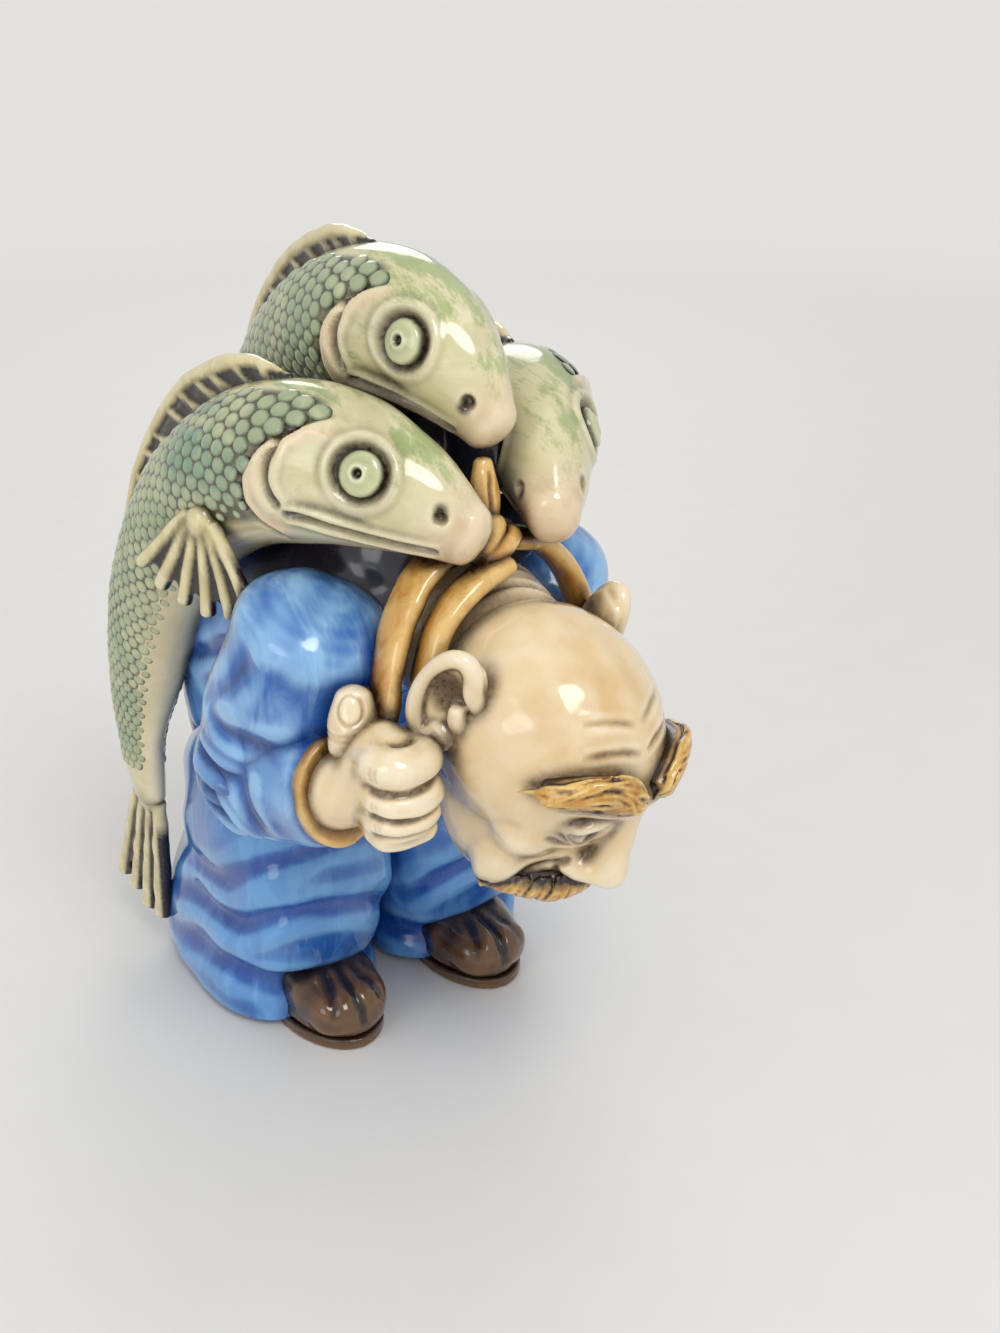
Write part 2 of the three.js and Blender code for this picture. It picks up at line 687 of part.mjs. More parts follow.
// Hands and sleeves.
function arm(side, { shoulder, elbow, cuff, fist }) {
  const half = (a, b) => a.map((v, i) => (v + b[i]) / 2);
  const thumb = THUMB_RISE.map((rise, i) => [
    fist[0] + Math.sign(fist[0]) * (4 - i),
    fist[1] + 7 + i,
    fist[2] + rise,
  ]);
  const thumbForm = { line: thumb, wide: THUMB_RADII, up: [BACK], sides: 10, rings: 4 };
  place(`thumb_${side}`, SKIN, limb(thumbForm));
  place(
    `fist_${side}`,
    SKIN,
    join(egg(fist, FIST_HALF_SIZES), limb({ line: [cuff, fist], wide: WRIST_RADIUS, rings: 2 })),
  );
  const axis = vec(cuff).sub(vec(elbow)).normalize();
  place(
    `cuff_band_${side}`,
    OCHRE,
    limb({
      line: [cuff, vec(cuff).addScaledVector(axis, CUFF_BAND_WIDTH).toArray()],
      wide: CUFF_HALF_SIZES[0] - CUFF_BAND_THICKNESS,
      tall: CUFF_HALF_SIZES[1] - CUFF_BAND_THICKNESS,
      rings: 1,
      dome: 0.04,
    }),
  );
  place(
    `lower_sleeve_${side}`,
    BLUE,
    limb({
      line: [elbow, half(elbow, cuff), cuff],
      wide: [ELBOW_RADIUS, ELBOW_RADIUS - 2, CUFF_HALF_SIZES[0]],
      tall: [ELBOW_RADIUS, ELBOW_RADIUS, CUFF_HALF_SIZES[1]],
      dome: 0.3,
      rings: 5,
    }),
  );
  place(
    `upper_sleeve_${side}`,
    BLUE,
    limb({
      line: [shoulder, half(shoulder, elbow), elbow],
      wide: [SHOULDER_RADIUS, UPPER_SLEEVE_RADIUS, ELBOW_RADIUS],
      up: [BACK],
      rings: 4,
    }),
  );
}
arm("right", RIGHT_ARM);
arm("left", LEFT_ARM);

const jacketForm = limb({
  line: JACKET_LINE,
  wide: JACKET_HALF_WIDTHS,
  tall: JACKET_HALF_DEPTHS,
  sides: 16,
});
place("jacket", BLUE, join(jacketForm, egg(HUMP_CENTRE, HUMP_HALF_SIZES)));

const legShape = {
  line: LEG_LINE.map(([x, y, z]) => [x - LEG_SPREAD, y, z]),
  wide: LEG_HALF_WIDTHS,
  tall: LEG_HALF_DEPTHS,
  up: [BACK],
  sides: 14,
  dome: 0.02,
  square: 0.65,
};
const foldLines = LEG_FOLDS.map((marks) =>
  marks.map(([u, degrees]) => onLimb(legShape, u, THREE.MathUtils.degToRad(degrees)).at.toArray()),
);
const leg = (grow) => limb(legShape)(grow).trimByPlane([0, 0, 1], HEM_RISE - grow);
placePair("trouser_leg", BLUE, grooved(leg, foldLines, LEG_FOLD_RADIUS));
place("trouser_seat", BLUE, egg(SEAT_CENTRE, SEAT_HALF_SIZES));

// The origin is on the floor under the middle of the whole figure.
const box = new THREE.Box3().setFromObject(figure);
const middle = box.getCenter(new THREE.Vector3());
figure.position.set(-middle.x, -middle.y, -box.min.z);

export default figure;
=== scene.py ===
import math

import bpy
import numpy as np
from mathutils import Matrix, Vector


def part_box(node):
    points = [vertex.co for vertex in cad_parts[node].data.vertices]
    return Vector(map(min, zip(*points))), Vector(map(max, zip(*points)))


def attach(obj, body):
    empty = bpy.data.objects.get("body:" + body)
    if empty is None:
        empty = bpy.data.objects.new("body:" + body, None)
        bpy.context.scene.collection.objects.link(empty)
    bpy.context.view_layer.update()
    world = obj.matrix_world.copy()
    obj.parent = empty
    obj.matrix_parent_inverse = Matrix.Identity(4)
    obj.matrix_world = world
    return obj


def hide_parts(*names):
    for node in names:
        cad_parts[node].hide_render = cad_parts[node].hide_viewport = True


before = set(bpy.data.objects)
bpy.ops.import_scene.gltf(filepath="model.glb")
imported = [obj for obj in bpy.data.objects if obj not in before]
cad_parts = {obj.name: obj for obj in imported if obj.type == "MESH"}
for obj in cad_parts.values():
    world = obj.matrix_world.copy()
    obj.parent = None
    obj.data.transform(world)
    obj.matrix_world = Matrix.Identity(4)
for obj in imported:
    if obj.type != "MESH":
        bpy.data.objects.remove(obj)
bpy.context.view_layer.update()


# The table that the figurine is pictured on, with its lamps and camera. The figure is laid out in
# millimetres from the middle of his stance, and `stance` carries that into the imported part's frame.
MM = 0.001
WELT_TOP_MIDDLE = np.array((-21.0, -13.0, 3.0))
welt_low, welt_high = (np.array(corner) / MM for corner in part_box("welt_right"))
stance = (welt_low + welt_high) / 2 - WELT_TOP_MIDDLE
stance[2] = welt_high[2] - WELT_TOP_MIDDLE[2]
scene = bpy.context.scene


def colour(hex_code):
    """A paint colour written as #rrggbb, as the linear values that a shader takes."""
    parts = [int(hex_code[i:i + 2], 16) / 255 for i in (1, 3, 5)]
    return [p / 12.92 if p <= 0.04045 else ((p + 0.055) / 1.055) ** 2.4 for p in parts] + [1.0]


class Recipe:
    """Nodes added to one tree by name, so that a finish reads as a list of its layers."""

    def __init__(self, tree):
        self.tree = tree

    def feed(self, socket, value):
        """A socket takes what another socket gives, or a plain value."""
        if isinstance(value, bpy.types.NodeSocket):
            self.tree.links.new(value, socket)
        else:
            socket.default_value = value

    def add(self, kind, inputs=None, **settings):
        node = self.tree.nodes.new(kind)
        for name, value in settings.items():
            setattr(node, name, value)
        for name, value in (inputs or {}).items():
            self.feed(node.inputs[name], value)
        return node

    def maths(self, operation, a, b=0.0, clamp=False):
        return self.add("ShaderNodeMath", {0: a, 1: b}, operation=operation, use_clamp=clamp).outputs[0]

    def plus(self, a, b):
        return self.maths("ADD", a, b)

    def times(self, a, b, clamp=False):
        return self.maths("MULTIPLY", a, b, clamp)

    def vector(self, operation, inputs, result=0):
        return self.add("ShaderNodeVectorMath", inputs, operation=operation).outputs[result]

    def mark(self, name):
        """What each point of the piece carries under a name."""
        return self.add("ShaderNodeAttribute", attribute_name=name).outputs["Fac"]

    def blend(self, share, a, b):
        return self.add("ShaderNodeMix", {0: share, 6: a, 7: b}, data_type="RGBA", clamp_factor=True).outputs[2]

    def between(self, value, low, high, out_low=0.0, out_high=1.0):
        settings = {"Value": value, "From Min": low, "From Max": high, "To Min": out_low, "To Max": out_high}
        return self.add("ShaderNodeMapRange", settings, interpolation_type="SMOOTHSTEP").outputs[0]


def new_paint(name):
    """An empty paint, its recipe, and the surface that the recipe feeds."""
    material = bpy.data.materials.new(name)
    material.use_nodes = True
    return material, Recipe(material.node_tree), material.node_tree.nodes["Principled BSDF"]


BACKDROP = "#e3e1de"
TABLE_RADIUS = 80.0
HAZE_FROM, HAZE_TO = 0.3, 1.3
TABLE_ROUGHNESS = 0.55
table_paint, made, surface = new_paint("table_paint")
place = made.add("ShaderNodeTexCoord").outputs["Object"]
mottle = made.add("ShaderNodeTexNoise", {"Vector": place, "Scale": 60.0, "Detail": 3.0}).outputs[0]
made.feed(surface.inputs["Base Color"], made.blend(mottle, colour("#eae8e4"), colour("#e6e4e0")))
made.feed(surface.inputs["Roughness"], TABLE_ROUGHNESS)
seen = made.add("ShaderNodeLightPath").outputs
direct = made.maths("MAXIMUM", seen["Is Glossy Ray"], seen["Is Transmission Ray"])
direct = made.maths("MAXIMUM", seen["Is Camera Ray"], direct)
far = made.times(made.between(made.vector("LENGTH", {0: place}, "Value"), HAZE_FROM, HAZE_TO), direct)
haze = made.add("ShaderNodeEmission", {"Color": colour(BACKDROP)}).outputs[0]
mixed = made.add("ShaderNodeMixShader", {0: far, 1: surface.outputs[0], 2: haze}).outputs[0]
made.feed(table_paint.node_tree.nodes["Material Output"].inputs["Surface"], mixed)

bpy.ops.mesh.primitive_circle_add(vertices=96, radius=TABLE_RADIUS, fill_type="NGON")
table = bpy.context.object
table.name = "table"
table.data.materials.append(table_paint)

ROOM_LIGHT = 0.62
world = bpy.data.worlds.new("studio")
scene.world = world
world.use_nodes = True
sky = Recipe(world.node_tree)
background = world.node_tree.nodes["Background"]
seen = sky.add("ShaderNodeLightPath").outputs
direct = sky.maths("MAXIMUM", seen["Is Camera Ray"], seen["Is Transmission Ray"])
sky.feed(background.inputs["Color"], sky.blend(direct, colour("#ffffff"), colour(BACKDROP)))
sky.feed(background.inputs["Strength"], sky.between(direct, 0.0, 1.0, ROOM_LIGHT, 1.0))

LAMPS_AIM = Vector((0, 0, 0.09))
for name, place, size, watts in (
    ("softbox_high", (-0.12, -0.62, 0.85), 0.45, 3.6),
    ("softbox_left", (-0.85, -0.3, 0.4), 0.5, 1.2),
    ("softbox_behind", (0.45, 0.75, 0.6), 0.5, 1.6),
):
    light = bpy.data.lights.new(name, "AREA")
    light.shape, light.size, light.energy = "DISK", size, watts
    lamp = bpy.data.objects.new(name, light)
    scene.collection.objects.link(lamp)
    lamp.location = place
    lamp.rotation_euler = (LAMPS_AIM - Vector(place)).to_track_quat("-Z", "Y").to_euler()

CAMERA_AT = (-162.5, -293.6, 239.9)
CAMERA_LOOKS = Vector((0.5198, 0.7424, -0.4226))
LENS, SENSOR_WIDTH = 54.0, 36.0
camera_data = bpy.data.cameras.new("camera")
camera_data.sensor_fit = "HORIZONTAL"
camera_data.sensor_width = SENSOR_WIDTH
camera_data.lens = LENS
camera_data.clip_start = 0.01
camera = bpy.data.objects.new("camera", camera_data)
scene.collection.objects.link(camera)
camera.location = (np.array(CAMERA_AT) + stance) * MM
camera.rotation_euler = CAMERA_LOOKS.to_track_quat("-Z", "Y").to_euler()
scene.camera = camera
scene.view_settings.view_transform = "Standard"


# Welts and boots: small stout boots of dark brown glazed clay. The boot is rolled from a short coil
# and pressed on an oval welt, and the creases over the toes are cut with a wooden tool.
def flow(values, places):
    """A smooth run through a list of numbers or points, read at places from 0 to 1."""
    values = np.asarray(values, float)
    if values.ndim == 0:
        return np.full((len(places), 1), float(values))
    if values.ndim == 1:
        values = values[:, None]
    padded = np.vstack([2 * values[0] - values[1], values, 2 * values[-1] - values[-2]])
    steps = np.clip(np.asarray(places, float) * (len(values) - 1), 0, len(values) - 1 - 1e-9)
    first = steps.astype(int)
    t = (steps - first)[:, None]
    a, b, c, d = (padded[first + k] for k in range(4))
    return b + 0.5 * t * (c - a + t * (2 * a - 5 * b + 4 * c - d + t * (3 * (b - c) + d - a)))


def unit(vectors):
    vectors = np.asarray(vectors, float)
    return vectors / np.maximum(np.linalg.norm(vectors, axis=-1, keepdims=True), 1e-12)


def dab(gap, width, power=2):
    """1 at no gap, fading to 0 about a width away, more squarely with a higher power."""
    return np.exp(-((gap / width) ** power))


def ramp(values, start, end):
    """0 at the start and 1 at the end, with a straight rise between."""
    return np.clip((values - start) / (end - start), 0, 1)


def axes_along(line, up, places):
    """Places on a line with its direction, and the tall and wide axes of a coil laid along it."""
    at = flow(line, places)
    ahead = unit(flow(line, np.minimum(places + 1e-3, 1)) - flow(line, np.maximum(places - 1e-3, 0)))
    if callable(up):
        lean = up(at)
    else:
        ends = np.atleast_2d(np.asarray(up, float))
        lean = ends[0] + (ends[-1] - ends[0]) * places[:, None]
    tall = unit(lean - ahead * (lean * ahead).sum(1)[:, None])
    return at, ahead, tall, np.cross(tall, ahead)


def round_or_square(angles, square):
    """The cosines and sines of a coil's section: a circle at 1, and nearer a box below 1."""
    return [np.sign(f) * np.abs(f) ** square for f in (np.cos(angles), np.sin(angles))]


def coil(line, wide, tall=None, up=(0, 0, 1), sides=40, steps=40, dome=0.6, square=1.0):
    """A coil of clay rolled along a line: half sizes at its points, and one dome for both ends or two."""
    places = np.linspace(0, 1, steps)
    at, ahead, high, across = axes_along(line, up, places)
    a = flow(wide, places)[:, 0]
    b = flow(wide if tall is None else tall, places)[:, 0]
    cos, sin = round_or_square(np.linspace(0, 2 * math.pi, sides, endpoint=False), square)

    def ring(i, scale, push):
        centre = at[i] + ahead[i] * push
        return centre + np.outer(cos * a[i] * scale, across[i]) + np.outer(sin * b[i] * scale, high[i])

    turns = np.linspace(0, math.pi / 2, 7)[1:-1]
    reach = [np.broadcast_to(dome, 2)[i] * min(a[i], b[i]) for i in (0, -1)]
    rings = [ring(0, math.cos(t), -reach[0] * math.sin(t)) for t in turns[::-1]]
    rings += [ring(i, 1, 0) for i in range(steps)]
    rings += [ring(-1, math.cos(t), reach[1] * math.sin(t)) for t in turns]
    points = np.vstack(rings + [[at[0] - ahead[0] * reach[0], at[-1] + ahead[-1] * reach[1]]])
    faces = []
    for i in range(len(rings) - 1):
        for j in range(sides):
            k = (j + 1) % sides
            faces.append((i * sides + j, i * sides + k, (i + 1) * sides + k, (i + 1) * sides + j))
    last, first_end = (len(rings) - 1) * sides, len(points) - 2
    for j in range(sides):
        k = (j + 1) % sides
        faces += [(first_end, k, j), (first_end + 1, last + j, last + k)]
    return points, faces


def egg(centre, half_sizes, turn=None):
    """A ball of clay pressed to three half sizes, in a frame of its own."""
    line = [(0, 0, z) for z in np.linspace(-0.9995, 0.9995, 26)]
    width = [math.sqrt(1 - z * z) for _, _, z in line]
    points, faces = coil(line, width, up=(0, 1, 0), steps=26, dome=0.02)
    points = points * np.asarray(half_sizes, float)
    if turn is not None:
        points = points @ np.asarray(turn, float).T
    return points + np.asarray(centre, float), faces


SIDES = (("right", -1), ("left", 1))


def on_side(out, form):
    """A form laid out for his right side, as it is or mirrored for the left."""
    points, faces = form
    return form if out < 0 else (points * (-1, 1, 1), [tuple(reversed(face)) for face in faces])


def grooves_on(out, grooves):
    """Grooves laid out for his right side, as they are or mirrored for the left."""
    return [([(-out * x, y, z) for x, y, z in line], depth, width) for line, depth, width in grooves]


def near_line(points, line):
    """How far each point is from a line, and how far along the line its nearest place is."""
    far, share = np.full(len(points), 1e9), np.zeros(len(points))
    for i in range(len(line) - 1):
        leg = line[i + 1] - line[i]
        t = np.clip(((points - line[i]) @ leg) / (leg @ leg + 1e-12), 0, 1)
        gap = np.linalg.norm(points - line[i] - t[:, None] * leg, axis=1)
        closer = gap < far
        far[closer] = gap[closer]
        share[closer] = (i + t[closer]) / (len(line) - 1)
    return far, share


def points_of(mesh):
    values = np.empty(len(mesh.vertices) * 3, np.float32)
    mesh.vertices.foreach_get("co", values)
    return values.reshape(-1, 3).astype(float)


def place_points(mesh, points):
    mesh.vertices.foreach_set("co", points.astype(np.float32).ravel())


class Member:
    """One member of the figure in wet clay, in mm: rough forms pressed into one body, then tooled."""

    def __init__(self, name, forms, *, grain, soften):
        points, faces, start = [], [], 0
        for form_points, form_faces in forms:
            points.append(form_points)
            faces += [tuple(start + i for i in face) for face in form_faces]
            start += len(form_points)
        rough = bpy.data.meshes.new(name + "_rough")
        rough.from_pydata(np.vstack(points).tolist(), [], faces)
        lump = bpy.data.objects.new(name + "_rough", rough)
        scene.collection.objects.link(lump)
        press = lump.modifiers.new("press", "REMESH")
        press.mode = "VOXEL"
        press.voxel_size = grain
        graph = bpy.context.evaluated_depsgraph_get()
        self.mesh = bpy.data.meshes.new_from_object(lump.evaluated_get(graph))
        bpy.data.objects.remove(lump)
        bpy.data.meshes.remove(rough)
        self.name = name
        self.points = points_of(self.mesh)
        pairs = np.empty(len(self.mesh.edges) * 2, np.int32)
        self.mesh.edges.foreach_get("vertices", pairs)
        self.pairs = pairs.reshape(-1, 2)
        self.valence = np.maximum(np.bincount(pairs, minlength=len(self.points)), 1)
        self.marks = {}
        self.smooth(soften)

    def even(self, values):
        """Each point's value averaged over the points next to it."""
        a, b = self.pairs.T
        if values.ndim == 2:
            return np.stack([self.even(values[:, k]) for k in range(values.shape[1])], 1)
        total = np.bincount(a, values[b], len(self.points)) + np.bincount(b, values[a], len(self.points))
        return total / self.valence

    def smooth(self, times, where=1.0):
        share = 0.5 * np.broadcast_to(where, len(self.points))[:, None]
        for _ in range(times):
            self.points = self.points + share * (self.even(self.points) - self.points)

    def normals(self):
        place_points(self.mesh, self.points)
        self.mesh.update()
        values = np.empty(len(self.points) * 3, np.float32)
        self.mesh.vertex_normals.foreach_get("vector", values)
        return values.reshape(-1, 3).astype(float)

    def raise_by(self, amount):
        self.points = self.points + self.normals() * np.asarray(amount)[:, None]

    def away_from(self, place, stretch=1):
        """How far each point is from a place, with the axes stretched by shares."""
        return np.linalg.norm((self.points - place) / stretch, axis=1)

    def onto(self, line):
        """A line's points moved to the nearest points of this member's surface."""
        return np.array([self.points[((self.points - p) ** 2).sum(1).argmin()] for p in line])

    def tool(self, line, depth, width, lip=0.3, fade=0.25, steps=24):
        """A groove drawn with a tool along a line, with the clay pushed up beside it. It returns how
        far each point is from the groove, and how far along it."""
        drawn = self.onto(flow(line, np.linspace(0, 1, steps)))
        for _ in range(4):
            drawn[1:-1] = 0.5 * drawn[1:-1] + 0.25 * (drawn[:-2] + drawn[2:])
        gap, share = near_line(self.points, flow(drawn, np.linspace(0, 1, steps * 2)))
        ends = np.clip(np.minimum(share, 1 - share) / fade, 0, 1)
        cut = -dab(gap, width) + lip * dab(gap - 2 * width, width)
        self.raise_by(depth * cut * np.sqrt(ends) * (gap < width * 5))
        return gap, share

    def tool_each(self, grooves, **how):
        for line, depth, width in grooves:
            self.tool(line, depth, width, **how)

    def handle(self, height, *, size, seed):
        """The uneven rise and fall that hands leave on clay, about size mm long."""
        chance = np.random.default_rng(seed)
        total = np.zeros(len(self.points))
        for _ in range(7):
            direction = unit(chance.normal(size=3)) * 2 * math.pi / (size * chance.uniform(0.7, 1.5))
            total += np.sin(self.points @ direction + chance.uniform(0, 2 * math.pi))
        self.raise_by(height * (total / 4))


MEMBERS = []


def set_down(member, paint):
    """The member as a finished piece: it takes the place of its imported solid, with its paint."""
    piece = bpy.data.objects.new(member.name + "_glazed", member.mesh)
    scene.collection.objects.link(piece)
    member.mesh.materials.clear()
    member.mesh.materials.append(paint)
    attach(piece, "root")
    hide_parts(member.name)
    MEMBERS.append(member)


def name_sockets(tree, inputs, outputs):
    """The named inputs and outputs of a tree: name, kind of socket, and the value it starts from."""
    for way, sockets in (("INPUT", inputs), ("OUTPUT", outputs)):
        for name, kind, *value in sockets:
            socket = tree.interface.new_socket(name, in_out=way, socket_type="NodeSocket" + kind)
            if value:
                socket.default_value = value[0]


def glaze_layers():
    """Shared by every paint: brushed colour, a wash left in the hollows with painted shade over the hollows and where
    members meet, and the glaze's own skin.
    """
    group = bpy.data.node_groups.new("brushed_washed_and_shaded", "ShaderNodeTree")
    name_sockets(group, (
        ("Colour", "Color", (0.5, 0.5, 0.5, 1)), ("Thin", "Color", (0.8, 0.8, 0.8, 1)),
        ("Thick", "Color", (0.2, 0.2, 0.2, 1)), ("Wash", "Color", (0.05, 0.03, 0.02, 1)),
        ("Stroke size", "Float", 160.0), ("Stroke stretch", "Vector", (1, 1, 1)),
        ("Thin share", "Float", 0.5), ("Wash share", "Float", 1.0), ("Gloss", "Float", 0.14),
    ), (("Colour", "Color"), ("Roughness", "Float"), ("Height", "Float")))
    made = Recipe(group)
    given = made.add("NodeGroupInput").outputs
    place = made.add("ShaderNodeTexCoord").outputs["Object"]
    drawn = made.vector("MULTIPLY", {0: place, 1: given["Stroke stretch"]})

    def noise(vector, scale, detail, twist=0.0):
        settings = {"Vector": vector, "Scale": scale, "Detail": detail, "Roughness": 0.62, "Distortion": twist}
        return made.add("ShaderNodeTexNoise", settings).outputs[0]

    strokes = noise(drawn, given["Stroke size"], 5.0, 0.6)
    broad = noise(drawn, made.times(given["Stroke size"], 0.3), 3.0, 0.4)
    speckle = noise(place, 900.0, 4.0)
    worn, hollow = made.mark("wear"), made.mark("wash")
    thin = made.plus(made.times(worn, 0.75), made.times(made.between(strokes, 0.42, 0.66), given["Thin share"]))
    base = made.blend(made.times(made.between(broad, 0.5, 0.72), 0.75), given["Colour"], given["Thick"])
    base = made.blend(thin, base, given["Thin"])
    ragged = made.plus(made.times(speckle, 0.9), 0.55)
    # The wash colour goes where the points' mark is high: brown wash left in crevices, and painted shade in broad
    # hollows and where members meet.
    pit = made.times(made.between(hollow, 0.86, 0.97), given["Wash share"], clamp=True)
    left = made.maths("MAXIMUM", pit, made.times(made.times(hollow, ragged), given["Wash share"], clamp=True))
    rough = made.plus(made.plus(given["Gloss"], made.times(left, 0.22)), made.times(speckle, 0.06))
    height = made.plus(made.times(strokes, 0.7), made.times(speckle, 0.12))
    washed_and_shaded = made.blend(left, base, given["Wash"])
    made.add("NodeGroupOutput", {"Colour": washed_and_shaded, "Roughness": rough, "Height": height})
    return group


LAYERS = glaze_layers()
COAT_WEIGHT, COAT_ROUGHNESS, GLASS_IOR = 0.55, 0.1, 1.5
RELIEF_HEIGHT = 0.0006


def glazed(name, body, thin, thick, wash="#2b1a10", stroke=160.0, stretch=(1, 1, 1), thin_share=0.5,
           wash_and_shade_share=1.0, gloss=0.14, relief=0.12, tint=None):
    """A painted and glazed finish, whose wash colour also paints shade in hollows and where members meet. A tint adds
    the paints that only this surface has.
    """
    material, made, surface = new_paint(name)
    paints = {"Colour": colour(body), "Thin": colour(thin), "Thick": colour(thick), "Wash": colour(wash)}
    if tint:
        paints = tint(made, paints)
    layers = made.add("ShaderNodeGroup", node_tree=LAYERS)
    for key, value in {**paints, "Stroke size": stroke, "Stroke stretch": stretch, "Thin share": thin_share,
                       "Wash share": wash_and_shade_share, "Gloss": gloss}.items():
        made.feed(layers.inputs[key], value)
    bump = {"Height": layers.outputs["Height"], "Strength": relief, "Distance": RELIEF_HEIGHT}
    bump = made.add("ShaderNodeBump", bump).outputs[0]
    for key, value in (("Base Color", layers.outputs["Colour"]), ("Roughness", layers.outputs["Roughness"]),
                       ("Normal", bump), ("Coat Weight", COAT_WEIGHT),
                       ("Coat Roughness", COAT_ROUGHNESS), ("IOR", GLASS_IOR)):
        made.feed(surface.inputs[key], value)
    return material


boot_brown = glazed("boot_brown", "#2d1c15", "#75532f", "#150c07", wash="#0d0704", stroke=100.0,
                    thin_share=0.26, gloss=0.07)

FOOT_SPREAD = 21.0
BOOT_HALF_WIDTH = 11.5
BOOT_HALF_HEIGHTS = (6.5, 7.5, 8.5, 8)
BOOT_LENGTHWISE = (-26.5, -17.0, -5.0, 1.0)
BOOT_UNDERSIDE = 1.5
WELT_THICKNESS = 3.0
WELT_HALF_LENGTH = 21.2
WELT_HALF_WIDTH = 12.7
WELT_MIDDLE = -13
BOOT_CREASES = (
    ([(-21, -35, 6), (-21, -32, 12), (-21, -24, 17), (-20.6, -15, 19)], 1.2, 1.1),
    ([(-27, -31, 9), (-25.5, -26, 14.5), (-24, -19, 18)], 0.7, 1.5),
    ([(-15, -31, 9), (-16.5, -26, 14.5), (-18, -19, 18)], 0.7, 1.5),
)

welt_form = coil([(-FOOT_SPREAD, WELT_MIDDLE, z) for z in (0.02, 1.5, WELT_THICKNESS)],
                 WELT_HALF_WIDTH, WELT_HALF_LENGTH, up=(0, 1, 0), sides=72, dome=0.0)
boot_forms = [
    coil([(-FOOT_SPREAD, y, BOOT_UNDERSIDE + h) for y, h in zip(BOOT_LENGTHWISE, BOOT_HALF_HEIGHTS)],
         [s * BOOT_HALF_WIDTH for s in (0.9, 1.02, 0.95, 0.78)],
         [h * 1.03 for h in BOOT_HALF_HEIGHTS], dome=1.12, square=0.8),
    coil([(-FOOT_SPREAD, -13, 3.2), (-FOOT_SPREAD, -13, 6), (-FOOT_SPREAD, -12.4, 9.5)],
         (11.9, 11.8, 10.4), (20.3, 20.2, 18.2), up=(0, 1, 0), sides=72, dome=(0.0, 0.35)),
    coil([(-FOOT_SPREAD, -3, 8), (-FOOT_SPREAD, 2, 18), (-FOOT_SPREAD, 4, 26)], (9, 9.5, 9)),
]
for side, out in SIDES:
    welt = Member(f"welt_{side}", [on_side(out, welt_form)], grain=0.55, soften=2)
    from_middle = welt.points[:, :2] - (out * FOOT_SPREAD, WELT_MIDDLE)
    from_middle = from_middle / (WELT_HALF_WIDTH, WELT_HALF_LENGTH)
    round_the_edge = (from_middle ** 2).sum(1) > 0.9
    welt.raise_by(-0.3 * dab(np.abs(welt.points[:, 2] - 1.7), 0.45) * round_the_edge)
    set_down(welt, boot_brown)
    boot = Member(f"boot_{side}", [on_side(out, form) for form in boot_forms], grain=0.5, soften=6)
    boot.tool_each(grooves_on(out, BOOT_CREASES), lip=0.0)
    boot.smooth(4)
    boot.handle(0.25, size=9, seed=3)
    boot.points[:, 2] = np.maximum(boot.points[:, 2], WELT_THICKNESS + 0.1)
    set_down(boot, boot_brown)


# Trousers: two wide legs of blue glazed clay with a seat between them, rolled from slabs. The folds
# swing round each bent knee from the front of the thigh down to the hem behind the boot.
def drawn_on(shape, marks, out):
    """A line drawn on a coil's skin for one side: shares of the coil's length, with degrees round it."""
    shares, degrees = np.array(marks, float).T
    at, _, high, across = axes_along(shape["line"], shape["up"], shares)
    cos, sin = round_or_square(np.radians(degrees), shape["square"])
    wide, tall = flow(shape["wide"], shares), flow(shape["tall"], shares)
    return (at + across * wide * cos[:, None] + high * tall * sin[:, None]) * (-out, 1, 1)


def under_fish_brown_and_shade_tint(made, paints):
    """Dark brown painted on the blue cloth under the fish: brown wash, and painted shade under the load."""
    brown_and_shade_under_fish = made.mark("brown_and_shade_under_fish")
    return {key: made.blend(brown_and_shade_under_fish, paint, colour("#2b1c12")) for key, paint in paints.items()}


smock_blue = glazed("smock_blue", "#1b62b8", "#6ca8e2", "#0e3a88", wash="#062c8c", stroke=130.0,
                    stretch=(1, 1, 0.3), thin_share=0.4, wash_and_shade_share=0.55, gloss=0.12, tint=under_fish_brown_and_shade_tint)

LEG_SPREAD = 22.5
LEG_PLACES = ((-1, 12, 68), (0, 3, 56), (1, 1, 38), (0, 12, 18), (0, 14, 2.8))
LEG_SHAPE = {
    "line": [(x - LEG_SPREAD, y, z) for x, y, z in LEG_PLACES],
    "wide": (17, 21.5, 21.5, 21.5, 22.5), "tall": (21, 27, 27, 28, 31), "up": (0, 1, 0), "square": 0.65,
}
LEG_FOLDS = (
    (((0.52, 10), (0.43, -8), (0.37, -32), (0.35, -62), (0.35, -92), (0.38, -125)), 1.5, 2.6),
    (((0.76, 18), (0.64, 2), (0.53, -20), (0.47, -50), (0.46, -82), (0.50, -115), (0.58, -150)), 2.4, 2.9),
    (((0.88, 20), (0.77, -3), (0.68, -26), (0.63, -55), (0.64, -88), (0.70, -125), (0.80, -160)), 2.2, 3.4),
    (((0.45, 112), (0.65, 116), (0.92, 122)), 0.8, 3.0),
)
HEM_HEIGHT = 2.4
leg_form = coil(**LEG_SHAPE, sides=72, dome=(0.55, 0.02))
for side, out in SIDES:
    leg = Member(f"trouser_leg_{side}", [on_side(out, leg_form)], grain=0.76, soften=8)
    leg.smooth(42, ramp(leg.points[:, 2], 5, 11))
    leg.tool_each([(drawn_on(LEG_SHAPE, marks, out), depth, width) for marks, depth, width in LEG_FOLDS],
                  lip=0.35, fade=0.35, steps=40)
    leg.handle(0.35, size=16, seed=5)
    leg.smooth(3)
    leg.smooth(42, ramp(leg.points[:, 2], 52, 62))
    leg.points[:, 2] = np.maximum(leg.points[:, 2], HEM_HEIGHT)
    set_down(leg, smock_blue)

